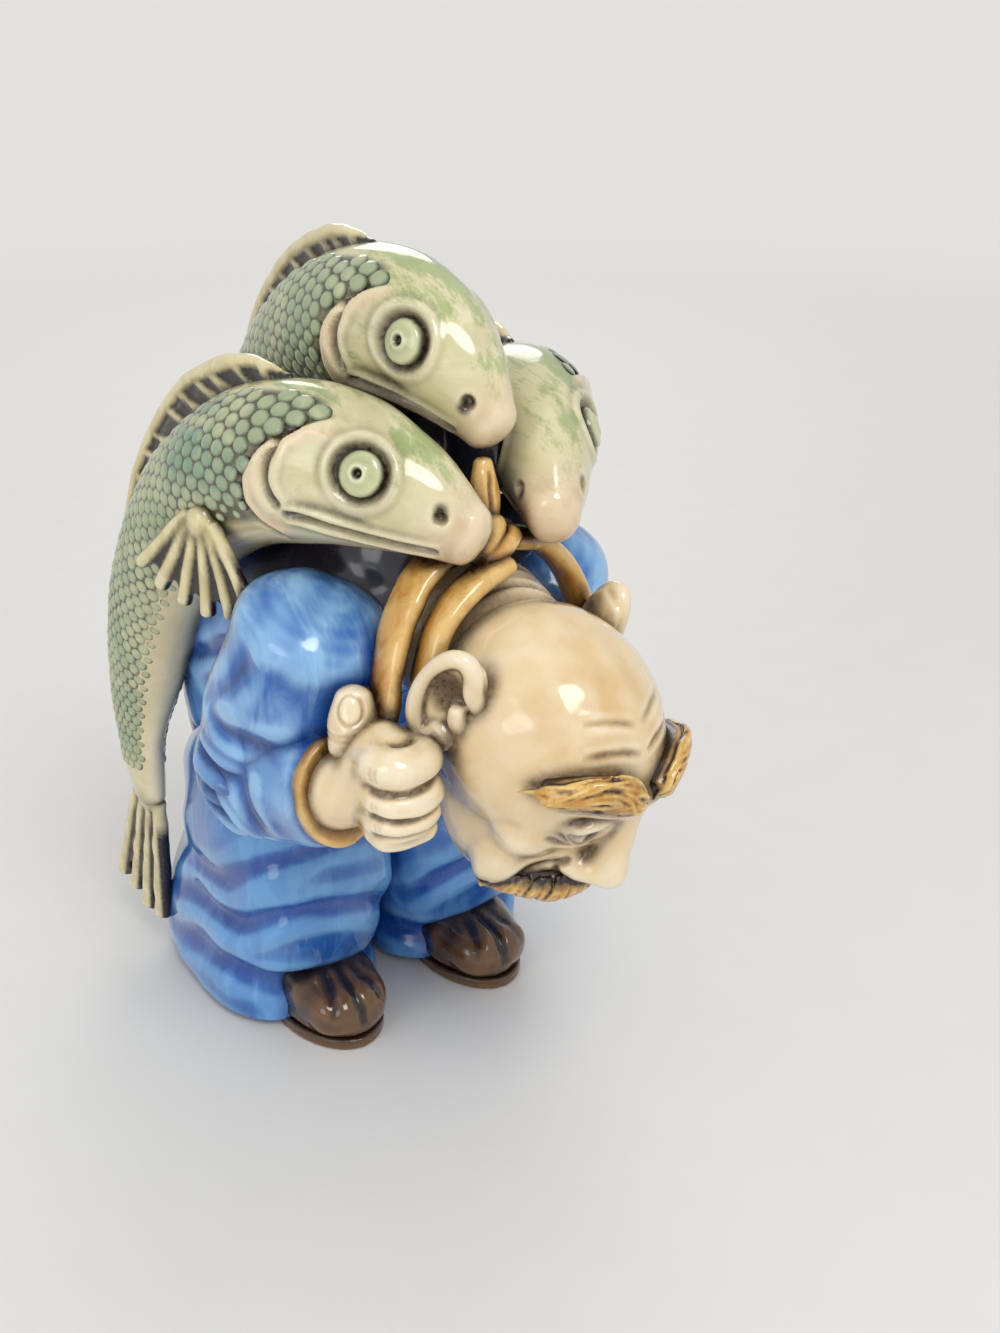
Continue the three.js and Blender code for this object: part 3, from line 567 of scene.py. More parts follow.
SEAT_CENTRE = (0, 15, 71)
SEAT_HALF_SIZES = (37, 28, 26)
SEAT_MIDDLE_CREASE = [([(0, 42, 80), (0, 43, 68), (0, 38, 54)], 1.6, 1.8)]
SEAT_SIDE_CREASE = [([(-34, 28, 66), (-20, 38, 60), (-4, 41, 62)], 1.2, 1.6)]
seat = Member("trouser_seat", [egg(SEAT_CENTRE, SEAT_HALF_SIZES)], grain=1.0, soften=4)
seat.tool_each(SEAT_MIDDLE_CREASE + grooves_on(-1, SEAT_SIDE_CREASE) + grooves_on(1, SEAT_SIDE_CREASE), lip=0.4)
seat.handle(0.4, size=15, seed=6)
set_down(seat, smock_blue)


# Smock: the bent back, rolled as one thick coil from the waist to the collar, in the same blue. A hump
# of clay under the glaze carries the fish, with small pads between them, and the cloth under the fish is painted dark
# brown, as wash and painted shade.
JACKET_LINE = [(0, 18, 74), (0, 8, 92), (0, -8, 108), (0, -27, 114), (0, -40, 113)]
JACKET_HALF_WIDTHS = (37, 38, 38, 33, 22)
JACKET_HALF_DEPTHS = (27, 28, 27, 22, 15)
HUMP_CENTRE = (-3, -12, 121)
HUMP_HALF_SIZES = (23, 37, 31)
CLAY_BETWEEN_FISH = (((-12, -35, 148), (8, 15, 12)), ((10, -35, 148), (8, 15, 12)),
                     ((0, -24, 146), (9, 16, 12)), ((18, -36, 127), (7, 11, 8)))
SMOCK_SIDE_CREASES = (
    ([(-37, 6, 78), (-36, -8, 88), (-33, -22, 94)], 1.3, 1.8),
    ([(-36, 14, 92), (-37, -2, 100), (-36, -16, 108)], 1.2, 1.8),
)
SMOCK_MIDDLE_CREASES = [
    ([(-24, 40, 88), (0, 44, 84), (24, 40, 88)], 1.2, 1.8),
    ([(-18, -44, 98), (-6, -40, 92), (8, -40, 92), (20, -42, 98)], 1.2, 1.6),
    ([(-20, -36, 88), (-4, -32, 82), (14, -34, 86)], 1.0, 1.6),
]
smock_forms = [coil(JACKET_LINE, JACKET_HALF_WIDTHS, JACKET_HALF_DEPTHS, sides=64),
               egg(HUMP_CENTRE, HUMP_HALF_SIZES)] + [egg(*pad) for pad in CLAY_BETWEEN_FISH]
smock = Member("jacket", smock_forms, grain=0.86, soften=8)
smock.tool_each(grooves_on(-1, SMOCK_SIDE_CREASES) + grooves_on(1, SMOCK_SIDE_CREASES) + SMOCK_MIDDLE_CREASES,
                lip=0.4)
smock.handle(0.45, size=15, seed=7)
# Brown wash and painted shade on the upper front of the smock, under the fish.
smock.marks["brown_and_shade_under_fish"] = 0.92 * ramp(smock.points[:, 2], 106, 116) * ramp(smock.points[:, 1], -6, -18)
set_down(smock, smock_blue)


# Sleeves: an upper and a lower coil for each arm, pressed together at the bent elbow, where the cloth
# bunches in short creases. A narrow ochre band closes each cuff.
def beside(centre, out, *points):
    """Points given from a centre, with x counted outwards to one side of him."""
    return [centre + np.array(p, float) * (out, 1, 1) for p in points]


sleeve_blue = glazed("sleeve_blue", "#236abd", "#90bfea", "#0f3e8c", wash="#06266f", stroke=150.0,
                     stretch=(1, 0.4, 0.22), thin_share=0.5, wash_and_shade_share=0.85, gloss=0.11, tint=under_fish_brown_and_shade_tint)
band_ochre = glazed("band_ochre", "#b9822f", "#e2bd74", "#7d4c1c", wash="#2e1a0b", stroke=170.0,
                    thin_share=0.4, gloss=0.14)

ARMS = {  # the shoulder, elbow, cuff and fist of each
    "right": np.array(((-32, -42, 117), (-41, -27, 81), (-38, -56, 88), (-32, -69, 95)), float),
    "left": np.array(((29, -34, 114), (38, -21, 80), (32, -49, 86), (25, -60, 92)), float),
}
SHOULDER_RADIUS, UPPER_SLEEVE_RADIUS, ELBOW_RADIUS = 17.0, 16.5, 14.0
CUFF_HALF_SIZES = (10.0, 12.0)
CUFF_BAND_WIDTH, CUFF_BAND_INSET = 3.2, 0.4
UPPER_SLEEVE_CREASES = (
    (((14, 2, 10), (12, -8, 7), (4, -15, 5), (-4, -17, 5)), 2.0, 1.5),
    (((14, 4, 3), (13, -8, 1), (6, -15, -3)), 1.6, 1.4),
    (((14, -4, 20), (10, -14, 17), (0, -20, 15)), 0.9, 2.4),
    (((8, -19, 36), (13, -12, 28), (16, 0, 22)), 0.7, 2.8),
)
LOWER_SLEEVE_CREASES = (
    (((14, -4, 3), (13, -9, -6), (7, -12, -13)), 1.7, 1.4),
    (((10, -14, 10), (12, -17, 1), (9, -19, -9)), 0.7, 2.2),
)
for side, out in SIDES:
    shoulder, elbow, cuff, _ = ARMS[side]
    reach = unit(cuff - elbow)
    upper_form = coil([shoulder, (shoulder + elbow) / 2, elbow],
                      (SHOULDER_RADIUS, UPPER_SLEEVE_RADIUS, ELBOW_RADIUS), up=(0, 1, 0), sides=56)
    lower_form = coil([elbow, (elbow + cuff) / 2, cuff], (ELBOW_RADIUS, ELBOW_RADIUS - 2, CUFF_HALF_SIZES[0]),
                      (ELBOW_RADIUS, ELBOW_RADIUS, CUFF_HALF_SIZES[1]), sides=56, dome=0.3)
    for name, form, creases, height, size, seed in (
        ("upper_sleeve", upper_form, UPPER_SLEEVE_CREASES, 0.4, 13, 8 - out),
        ("lower_sleeve", lower_form, LOWER_SLEEVE_CREASES, 0.35, 12, 12 - out),
    ):
        sleeve = Member(f"{name}_{side}", [form], grain=0.62, soften=6)
        sleeve.tool_each([(beside(elbow, out, *line), depth, width) for line, depth, width in creases], lip=0.45)
        sleeve.handle(height, size=size, seed=seed)
        set_down(sleeve, sleeve_blue)

    band_form = coil([cuff + reach * along for along in (-0.3, CUFF_BAND_WIDTH / 2, CUFF_BAND_WIDTH)],
                     CUFF_HALF_SIZES[0] - CUFF_BAND_INSET, CUFF_HALF_SIZES[1] - CUFF_BAND_INSET, sides=56, dome=0.04)
    band = Member(f"cuff_band_{side}", [band_form], grain=0.4, soften=5)
    band.handle(0.15, size=7, seed=15 - out)
    set_down(band, band_ochre)


# Hands: each closed hand is a pad of cream clay with four rolled fingers laid round the strap's end,
# and a thumb of its own on top. Nails and knuckle lines are drawn with a pointed tool.
skin_cream = glazed("skin_cream", "#ebd2a5", "#f6e7c8", "#d8b074", wash="#432a12", stroke=55.0,
                    thin_share=0.4, wash_and_shade_share=0.95, gloss=0.09, relief=0.05)

PALM_OFFSET, PALM_HALF_SIZES = (0.6, 1.6, 0.2), (8.55, 10.75, 11.64)
WRIST_RADIUS = 8.5
FINGERS = ((6.6, 4.1, 1.0), (-0.4, 3.9, 1.06), (-5.8, 3.3, 0.98), (-9.6, 2.6, 0.82))  # height, radius, reach
FINGER_TAPER = (0.95, 1.0, 1.0, 0.96, 0.92, 0.84)
GROOVES_BETWEEN_FINGERS = (0.6, 0.9, 0.7)
KNUCKLE_LINES, THUMB_LINES = (-7.6, -8.8), (-2.2, -1.2)
THUMB_LINE = ((4, 7, 5), (3, 8, 10), (2, 9, 15))
THUMB_RADII = (5, 5.2, 4)
NAIL_PLACE, NAIL_RADIUS, NAIL_EDGE_WIDTH = (3.1, -3.7, -0.8), 2.6, 0.4
for side, out in SIDES:
    _, _, cuff, fist = ARMS[side]
    forms = [egg(beside(fist, out, PALM_OFFSET)[0], PALM_HALF_SIZES),
             coil([cuff, (cuff + fist) / 2, fist], (WRIST_RADIUS, WRIST_RADIUS - 0.2, 8))]
    for height, radius, reach in FINGERS:
        finger = beside(fist, out, (3.6, 3, height * 0.86), (5.0, -3.5, height), (3.9, -8.2 * reach, height + 0.2),
                        (-0.6, -8.9 * reach, height), (-4.6, -6.0, height - 0.4), (-4.6, -0.5, height - 0.6))
        forms.append(coil(finger, [radius * share for share in FINGER_TAPER], steps=60))
    hand = Member(f"fist_{side}", forms, grain=0.42, soften=8)
    hand.smooth(40, ramp(hand.points[:, 1] - fist[1], -7, -2))
    for upper, lower, depth in zip(FINGERS, FINGERS[1:], GROOVES_BETWEEN_FINGERS):
        gap = (upper[0] - upper[1] + lower[0] + lower[1]) / 2
        hand.tool(beside(fist, out, (9.0, -5.5, gap), (8.6, -8.0, gap), (7.0, -11.0, gap), (1, -13, gap),
                         (-7, -9, gap), (-8, -2, gap)), depth, width=0.85, lip=0.2)
    for height, _, _ in FINGERS[:3]:
        for knuckle in KNUCKLE_LINES:
            hand.tool(beside(fist, out, (8.2, knuckle, height + 1.8), (9, knuckle, height),
                             (8.2, knuckle, height - 1.8)), depth=0.25, width=0.4, lip=0.1)
    hand.handle(0.15, size=6, seed=20 + out)
    set_down(hand, skin_cream)

    thumb_line = beside(fist, out, *THUMB_LINE)
    thumb_form = coil(thumb_line, THUMB_RADII, [r * 0.92 for r in THUMB_RADII], up=(0, 1, 0))
    thumb = Member(f"thumb_{side}", [thumb_form], grain=0.35, soften=6)
    nail = thumb.onto(beside(thumb_line[2], out, NAIL_PLACE))[0]
    gap = thumb.away_from(nail, (1, 1, 1.25))
    thumb.raise_by(-0.3 * dab(gap - NAIL_RADIUS, NAIL_EDGE_WIDTH) + 0.15 * dab(gap, 2.0, 4))
    for drop in THUMB_LINES:
        thumb.tool(beside(thumb_line[1], out, (1, -5, drop), (4.6, -1.5, drop), (4.4, 2.5, drop)),
                   depth=0.22, width=0.4, lip=0.15)
    thumb.handle(0.15, size=6, seed=24 + out)
    set_down(thumb, skin_cream)


# Neck and head: the neck is a thick coil set in the collar, and the head an egg of clay with a jaw
# and a nose pressed on. The crown is bald, and the face is a plain and calm one.
NECK_LINE = [(0, -30, 112), (0, -48, 112), (0, -64, 106)]
NECK_RADII = (17, 18, 18)
NECK_LINES = (
    ([(-17, -60, 112), (-10, -61, 121), (0, -62, 125), (10, -61, 121), (17, -60, 112)], 0.8, 0.7),
    ([(-17, -55, 113), (-10, -56, 124), (0, -57, 129), (10, -56, 124), (17, -55, 113)], 0.7, 0.7),
)
neck = Member("neck", [coil(NECK_LINE, NECK_RADII, sides=56)], grain=0.7, soften=5)
neck.tool_each(NECK_LINES)
set_down(neck, skin_cream)

HEAD_CENTRE = np.array((0, -77, 100.5))
HEAD_BOW, HEAD_TURN = 32, 12
SKULL_HALF_SIZES = (22.3, 26.3, 24.5)
SKULL_RISE = 1.0
JAW_HALF_SIZES = (17.5, 20.2, 27.7)
JAW_DROP, JAW_FORWARD = 11.8, 3.8
FACE_EGGS = ((SKULL_HALF_SIZES, SKULL_RISE, 0), (JAW_HALF_SIZES, -JAW_DROP, JAW_FORWARD))
EYE_SPREAD, EYE_RADIUS, EYE_STAND = 9.2, 4.7, 1.2
NOSE_DROP, CHIN_DROP = 17.0, 35
NOSE_TIP_HALF_SIZES, NOSE_WING_HALF_SIZES = (5.6, 4.6, 3.6), (3.2, 4.0, 3.1)
CHIN_HALF_SIZES = (7.5, 5.5, 5.2)
CHEEKBONE_HALF_SIZES, CHEEK_HALF_SIZES = (8.0, 6.4, 6.0), (8.5, 6.8, 10.0)
turned_aside = Matrix.Rotation(math.radians(HEAD_TURN), 3, "Z")
bowed = Matrix.Rotation(math.radians(HEAD_BOW), 3, "X")
head_turn = np.array(turned_aside @ bowed)
face_out = head_turn @ (0, -1, 0)


def on_head(points):
    """Places given from the head's middle, carried to where the bowed and turned head is."""
    return HEAD_CENTRE + np.asarray(points, float) @ head_turn.T


def face_depth(x, z):
    """How far the plain egg of the face stands in front of the head's middle."""
    depths = []
    for (across, deep, high), rise, ahead in FACE_EGGS:
        left = 1 - (x / across) ** 2 - ((z - rise) / high) ** 2
        if left > 0:
            depths.append(ahead + deep * math.sqrt(left))
    return max(depths)


def on_face(x, z, stand=0.0):
    """A place on the plain egg of the face, or standing out from it."""
    return on_head((x, -face_depth(x, z) - stand, z))


def eyeball(out):
    return on_face(out * EYE_SPREAD, 0, EYE_STAND - EYE_RADIUS)


head_forms = [
    egg(on_head((0, 0, SKULL_RISE)), SKULL_HALF_SIZES, head_turn),
    egg(on_head((0, -JAW_FORWARD, -JAW_DROP)), JAW_HALF_SIZES, head_turn),
    coil([on_face(0, 4, -1.6), on_face(0, -NOSE_DROP * 0.4, 2.6), on_face(0, -NOSE_DROP * 0.82, 5.2)],
         (3.2, 3.6, 5.2), up=face_out, steps=50),
    egg(on_face(0, -NOSE_DROP + 1, 0.6), NOSE_TIP_HALF_SIZES, head_turn),
    egg(on_face(0, -CHIN_DROP, -2.6), CHIN_HALF_SIZES, head_turn),
    coil([on_face(-7, -28.6, -1.6), on_face(0, -29.4, -0.2), on_face(7, -28.6, -1.6)], (1.6, 2.6, 1.6),
         up=face_out, steps=30),
]
EYELIDS = (
    (((-5.6, -0.8), (-3.4, 1.8), (0, 2.9), (3.5, 2.1), (6.0, -0.6)), (0.6, 1.15, 1.3, 1.2, 0.7)),
    (((-5.4, -1.2), (-3.0, -2.7), (0, -3.3), (3.2, -2.8), (5.9, -1.0)), (0.5, 0.85, 0.95, 0.9, 0.5)),
)
lid_forms = []
for _, out in SIDES:
    head_forms += [
        egg(on_face(out * 4.6, -NOSE_DROP + 1.6, 1.2), NOSE_WING_HALF_SIZES, head_turn),
        egg(on_face(out * 11.5, -9.5, -5.4), CHEEKBONE_HALF_SIZES, head_turn),
        egg(on_face(out * 9.5, -22, -6.4), CHEEK_HALF_SIZES, head_turn),
        coil([on_face(out * 2.5, 6.4, -0.4), on_face(out * 9, 8.4, 0.2), on_face(out * 16, 5.6, -0.6)],
             (2.8, 3.2, 2.6), up=face_out, steps=30),
    ]
    for lid, radii in EYELIDS:
        edge = []
        for across, rise in lid:
            ahead = math.sqrt(max(EYE_RADIUS ** 2 - across ** 2 * 0.62 - rise ** 2, 1.0))
            way = unit(head_turn @ np.array((out * across, -ahead, rise)))
            edge.append(eyeball(out) + way * (EYE_RADIUS + 0.15))
        lid_forms.append(coil(edge, radii, up=face_out, steps=40, sides=16))
head = Member("head", head_forms + lid_forms, grain=0.46, soften=2)
from_eyes = np.min([head.away_from(on_face(out * EYE_SPREAD, 0)) for _, out in SIDES], 0)
head.smooth(90, 1 - dab(from_eyes, 7.0, 6))
head.smooth(3)
FACE_LINES = (
    ([(6.0, -12.5), (9.8, -17), (12.2, -23), (12.5, -28)], 0.6, 1.1),
    ([(5.4, -5.6), (9.4, -7.2), (14.4, -5.0)], 0.35, 0.9),
    ([(0.6, 16.5), (7, 17.2), (13, 15.2)], 0.35, 0.8),
    ([(0.6, 20.5), (6, 21), (11.5, 19.6)], 0.25, 0.8),
    ([(0.4, -31.6), (4, -31.4), (7.4, -30.4)], 0.5, 0.9),
)
NOSE_WING_CREASE = ((6.4, -12.4, 1.2), (7.6, -15.2, 0.6), (6.4, -18.2, 0.6))
for _, out in SIDES:
    head.tool_each([([on_face(out * x, z) for x, z in line], depth, width) for line, depth, width in FACE_LINES])
    nostril = head.onto([on_face(out * 2.6, -NOSE_DROP - 2, 3.4)])[0]
    head.raise_by(-1.2 * dab(head.away_from(nostril), 1.0))
    head.tool([on_face(out * x, z, stand) for x, z, stand in NOSE_WING_CREASE], depth=0.6, width=0.8, lip=0.2)
head.handle(0.18, size=9, seed=31)
set_down(head, skin_cream)


# Ears: a rolled rim round a hollow shell, with an inner fold, a small flap in front and a soft lobe,
# pressed to the side of the head and opened with a round tool.
EAR_HEIGHT, EAR_DEPTH, EAR_RISE, EAR_SET_BACK = 22.0, 12.0, 8.0, 10.5
EAR_FLARE = math.radians(24)
EAR_BOWL_RADIUS, EAR_BOWL_DEPTH = 3.0, 0.6
EAR_RIM_RADII = (2.4, 2.1, 1.8, 1.65, 1.6, 1.6, 1.7, 1.8, 1.9, 2.0, 2.0, 2.1, 2.1, 1.8)
for side, out in SIDES:
    def ear_at(back, height, lift=0.0):
        """A place on the ear's flared plate, from its middle."""
        lean = math.sin(EAR_FLARE) * (back + EAR_DEPTH / 2)
        sideways = SKULL_HALF_SIZES[0] - 2 + lean + lift
        return on_head((out * sideways, EAR_SET_BACK + math.cos(EAR_FLARE) * back, EAR_RISE + height))

    ear_out = unit(np.cross(ear_at(1, 0) - ear_at(0, 0), ear_at(0, 1) - ear_at(0, 0)) * out)
    rim = [ear_at(1.0 + 5.0 * math.cos(a), EAR_HEIGHT / 2 * math.sin(a))
           for a in np.linspace(-0.6, 0.84, 12) * math.pi]
    rim += [ear_at(-4.6, 2.6, -1.2), ear_at(-6.2, -1.2, -3.2)]
    forms = [
        coil(rim, EAR_RIM_RADII, up=ear_out, steps=80),
        coil([ear_at(1, 9.4, -1.6), ear_at(1, 5, -2.4), ear_at(0.8, -2, -2.6), ear_at(0.4, -8.4, -2.0)],
             (4.2, 5.8, 5.8, 4.6), 1.7, up=ear_out, steps=30),
        coil([ear_at(-5.6, -5.8, -1.6), ear_at(-3.9, -3.2, 0.0), ear_at(-2.5, -0.2, 0.5)],
             (3.0, 2.4, 1.8), (2.2, 1.9, 1.5), up=ear_out, steps=24),
        egg(ear_at(-1.6, -9.4, -0.4), (2.2, 4.2, 3.0), head_turn),
        egg(ear_at(-4.6, -7.2, -1.8), (2.4, 3.4, 3.8), head_turn),
    ]
    ear = Member(f"ear_{side}", forms, grain=0.32, soften=12)
    gap = ear.away_from(ear_at(1.0, 2.0, -1.2), (1.6, 1, 1.35))
    ear.raise_by(-EAR_BOWL_DEPTH * dab(gap, EAR_BOWL_RADIUS))
    # The sunk bowl of the ear is painted dark through the wash layer, as wash and painted shade in the hollow.
    sunk = ramp((ear.points - ear_at(0, 0)) @ ear_out, 0.1, -0.7)
    ear.marks["socket"] = 0.96 * sunk * dab(gap, 5.4, 6)
    set_down(ear, skin_cream)


# Eyes: small balls of off-white clay under the lids, with a ring drawn round the brown iris and the
# pupil painted dark.
def eye_tint(made, paints):
    """A brown iris, and a dark pupil in its middle."""
    iris = made.mark("iris")
    brown, dark = made.between(iris, 0.2, 0.35), made.between(iris, 0.55, 0.75)
    for key in ("Colour", "Thin", "Thick"):
        paints[key] = made.blend(dark, made.blend(brown, paints[key], colour("#6b4a2a")), colour("#140c08"))
    return paints


eye_white = glazed("eye_white", "#e2d3b2", "#efe6cf", "#c9b288", stroke=120.0, gloss=0.06, relief=0.03, tint=eye_tint)
IRIS_RADIUS, IRIS_GROOVE_DEPTH, IRIS_GROOVE_WIDTH = 2.1, 0.25, 0.35
for side, out in SIDES:
    eye = Member(f"eye_{side}", [egg(eyeball(out), [EYE_RADIUS] * 3, head_turn)], grain=0.3, soften=4)
    gap = eye.away_from(eyeball(out) + face_out * EYE_RADIUS)
    eye.raise_by(-IRIS_GROOVE_DEPTH * dab(gap - IRIS_RADIUS, IRIS_GROOVE_WIDTH))
    eye.marks["iris"] = ramp(gap, 3.2, 0)
    set_down(eye, eye_white)


# Brows and moustache: pads of clay laid on the face and combed into strands with a pointed tool, in
# golden brown glaze with a dark wash and painted shade between the strands.
def new_tree(name, inputs):
    """A geometry tree with named inputs, its recipe, and what it is given."""
    tree = bpy.data.node_groups.new(name, "GeometryNodeTree")
    name_sockets(tree, (("Geometry", "Geometry"), *inputs, ("Paint", "Material")), (("Geometry", "Geometry"),))
    made = Recipe(tree)
    return tree, made, made.add("NodeGroupInput").outputs


def close_tree(made, shapes, paint):
    """The end of a tree: its shapes made real, and painted."""
    real = made.add("GeometryNodeRealizeInstances", {"Geometry": shapes}).outputs[0]
    painted = made.add("GeometryNodeSetMaterial", {"Geometry": real, "Material": paint}).outputs[0]
    made.add("NodeGroupOutput", {"Geometry": painted})


def strand_tree():
    """Tapered strands swept along guide lines."""
    tree, made, given = new_tree("combed_strands", (("Strand radius", "Float", 0.5), ("Tip share", "Float", 0.35),
                                                    ("Sides", "Int", 8)))
    guides = made.add("GeometryNodeMeshToCurve", {"Mesh": given["Geometry"]}).outputs[0]
    along = made.add("GeometryNodeSplineParameter").outputs["Factor"]
    belly = made.maths("SINE", made.times(along, math.pi))
    share = made.add("ShaderNodeMapRange", {"Value": belly, "To Min": given["Tip share"], "To Max": 1.0}).outputs[0]
    section = made.add("GeometryNodeCurvePrimitiveCircle", {"Resolution": given["Sides"], "Radius": 1.0}).outputs[0]
    swept = made.add("GeometryNodeCurveToMesh", {"Curve": guides, "Profile Curve": section, "Fill Caps": True,
                                                 "Scale": made.times(share, given["Strand radius"])}).outputs[0]
    close_tree(made, swept, given["Paint"])
    return tree


def grown(tree, name, points, edges, inputs, marks):
    """What a tree makes from points and edges that carry marks, as a plain mesh."""
    seeds = bpy.data.meshes.new(name)
    seeds.from_pydata([tuple(p) for p in points], edges, [])
    for mark, values in marks.items():
        layer = seeds.attributes.new(mark, "FLOAT_VECTOR", "POINT")
        layer.data.foreach_set("vector", np.ravel(values).astype(np.float32))
    holder = bpy.data.objects.new(name, seeds)
    scene.collection.objects.link(holder)
    growth = holder.modifiers.new("growth", "NODES")
    growth.node_group = tree
    for item in tree.interface.items_tree:
        if item.in_out == "INPUT" and item.name in inputs:
            growth[item.identifier] = inputs[item.name]
    graph = bpy.context.evaluated_depsgraph_get()
    shapes = bpy.data.meshes.new_from_object(holder.evaluated_get(graph))
    bpy.data.objects.remove(holder)
    bpy.data.meshes.remove(seeds)
    return shapes


def as_form(mesh):
    """A grown mesh as a form that can be pressed into a member."""
    form = points_of(mesh), [tuple(polygon.vertices) for polygon in mesh.polygons]
    bpy.data.meshes.remove(mesh)
    return form


hair_gold = glazed("hair_gold", "#c78d2e", "#ebc87a", "#8a5418", wash="#2a1608", stroke=260.0,
                   thin_share=0.5, wash_and_shade_share=2.0, gloss=0.14)
STRANDS = strand_tree()
LOCK_POINTS, PAD_PLACES = 9, 200
chance = np.random.default_rng(11)


def combed(name, spine, half_heights, half_thickness, *, count, along, turn, flare, radius):
    """A pad along a spine on the face, with locks combed over it. Each lock runs along a share of the
    pad, more where it flares at the ends, and turn says how it goes round the pad from root to tip."""
    pad = coil(spine, [h * 0.8 for h in half_heights], half_thickness * 0.74, up=face_out, steps=50)
    places = np.linspace(0, 1, PAD_PLACES)
    at, ahead, high, across = axes_along(spine, face_out, places)
    half_height = flow(half_heights, places)[:, 0]
    length = np.linalg.norm(np.diff(at, axis=0), axis=1).sum()
    points, edges = [], []
    for _ in range(count):
        share, roll, start = chance.uniform(0.0, 1.0), chance.uniform(-1.5, 1.5), len(points)
        rise, way, bend = chance.uniform(0.88, 1.06), chance.choice((-1, 1)), chance.uniform(-0.22, 0.22)
        for k in range(LOCK_POINTS):
            t = k / (LOCK_POINTS - 1)
            place = share + (along + flare * (share - 0.5)) * (t - 0.4) + bend * 0.12 * math.sin(t * 5)
            on_pad = np.clip(place, 0, 1)
            i, past = int(on_pad * (PAD_PLACES - 1)), (place - on_pad) * length
            slim = 1 - min(abs(past) / 2.5, 0.85)
            angle = turn(t, roll, way) + bend * math.sin(t * 4)
            points.append(at[i] + ahead[i] * past + across[i] * half_height[i] * rise * slim * math.sin(angle)
                          + high[i] * half_thickness * rise * slim * 0.86 * math.cos(angle))
        edges += [(start + k, start + k + 1) for k in range(LOCK_POINTS - 1)]
    sizes = {"Strand radius": radius, "Tip share": 0.3, "Sides": 8, "Paint": hair_gold}
    locks = as_form(grown(STRANDS, name + "_locks", points, edges, sizes, {}))
    return Member(name, [pad, locks], grain=0.27, soften=1)


def along_the_brow(t, roll, way):
    """Each lock keeps to its own place round the pad, and leans a little one way or the other."""
    return roll + way * 0.5 * (t - 0.5)


def over_the_lip(t, roll, way):
    """Each lock starts at the upper edge and hangs over the pad to the lower one."""
    return 1.25 - 2.6 * t


BROW_RISE, BROW_LENGTH, BROW_INNER_END = 9.6, 14.6, 3.4
BROW_ARCH = (0, 1.7, 1.3, -1.8)
BROW_HALF_HEIGHTS, BROW_HALF_THICKNESS = (3.0, 4.8, 4.4, 2.0), 3.7
for side, out in SIDES:
    spine = [on_face(out * (BROW_INNER_END + BROW_LENGTH * i / 3), BROW_RISE + rise, 1.0)
             for i, rise in enumerate(BROW_ARCH)]
    brow = combed(f"eyebrow_{side}", spine, BROW_HALF_HEIGHTS, BROW_HALF_THICKNESS,
                  count=120, along=0.46, turn=along_the_brow, flare=0.0, radius=0.5)
    set_down(brow, hair_gold)

MOUSTACHE_DROP, MOUSTACHE_HALF_LENGTH, MOUSTACHE_SAG = 21.2, 13.8, 4.6
MOUSTACHE_HALF_HEIGHTS, MOUSTACHE_HALF_THICKNESS = (2.6, 4.4, 4.9, 4.4, 2.6), 4.7
spine = [on_face(MOUSTACHE_HALF_LENGTH * s, -MOUSTACHE_DROP - MOUSTACHE_SAG * s * s, 1.0)
         for s in (-1, -0.5, 0, 0.5, 1)]
moustache = combed("moustache", spine, MOUSTACHE_HALF_HEIGHTS, MOUSTACHE_HALF_THICKNESS,
                   count=190, along=0.0, turn=over_the_lip, flare=0.25, radius=0.56)
across_face, _, up_face = ((moustache.points - HEAD_CENTRE) @ head_turn).T
root_line = -MOUSTACHE_DROP - MOUSTACHE_SAG * (across_face / MOUSTACHE_HALF_LENGTH) ** 2
# The upper edge of the moustache, under the nose where the locks start, is painted dark through the wash layer: wash
# and painted shade.
moustache.marks["socket"] = 0.5 * ramp(up_face - root_line, 2.2, 4.2)
set_down(moustache, hair_gold)


# Straps: strips of ochre clay that carry the fish. They are knotted on the nape, and run down each
# side of the neck to the fists, with a loose end standing up behind the knot.
strap_ochre = glazed("strap_ochre", "#c4872e", "#e9c47c", "#774113", wash="#2e1a0b", stroke=230.0,
                     stretch=(1, 1, 0.6), thin_share=0.4, wash_and_shade_share=1.2, gloss=0.08)
STRAP_HALF_THICKNESS = 2.3
STRAPS = {  # half width, and the way that it runs
    "strap_right_outer": (4.6, [(-5, -58, 135), (-14, -57, 132), (-22, -59, 124), (-27, -61, 113), (-30, -63, 100)]),
    "strap_right_inner": (3.9, [(-1, -64, 132), (-10, -65, 129), (-18, -66, 122), (-22, -67, 112)]),
    "strap_left": (4.5, [(1, -58, 135), (12, -56, 132), (21, -55, 124), (25, -56, 113), (27, -57, 99)]),
}


def off_neck(at):
    """The way out from the neck, so that a strap lies flat round it."""
    return np.stack([at[:, 0], 0 * at[:, 0], at[:, 2] - NECK_LINE[2][2]], 1)


for seed, (name, (half_width, line)) in enumerate(STRAPS.items()):
    strap_form = coil(line, half_width, STRAP_HALF_THICKNESS, up=off_neck, steps=70, sides=32, square=0.8)
    strap = Member(name, [strap_form], grain=0.38, soften=5)
    strap.handle(0.22, size=9, seed=40 + seed)
    set_down(strap, strap_ochre)

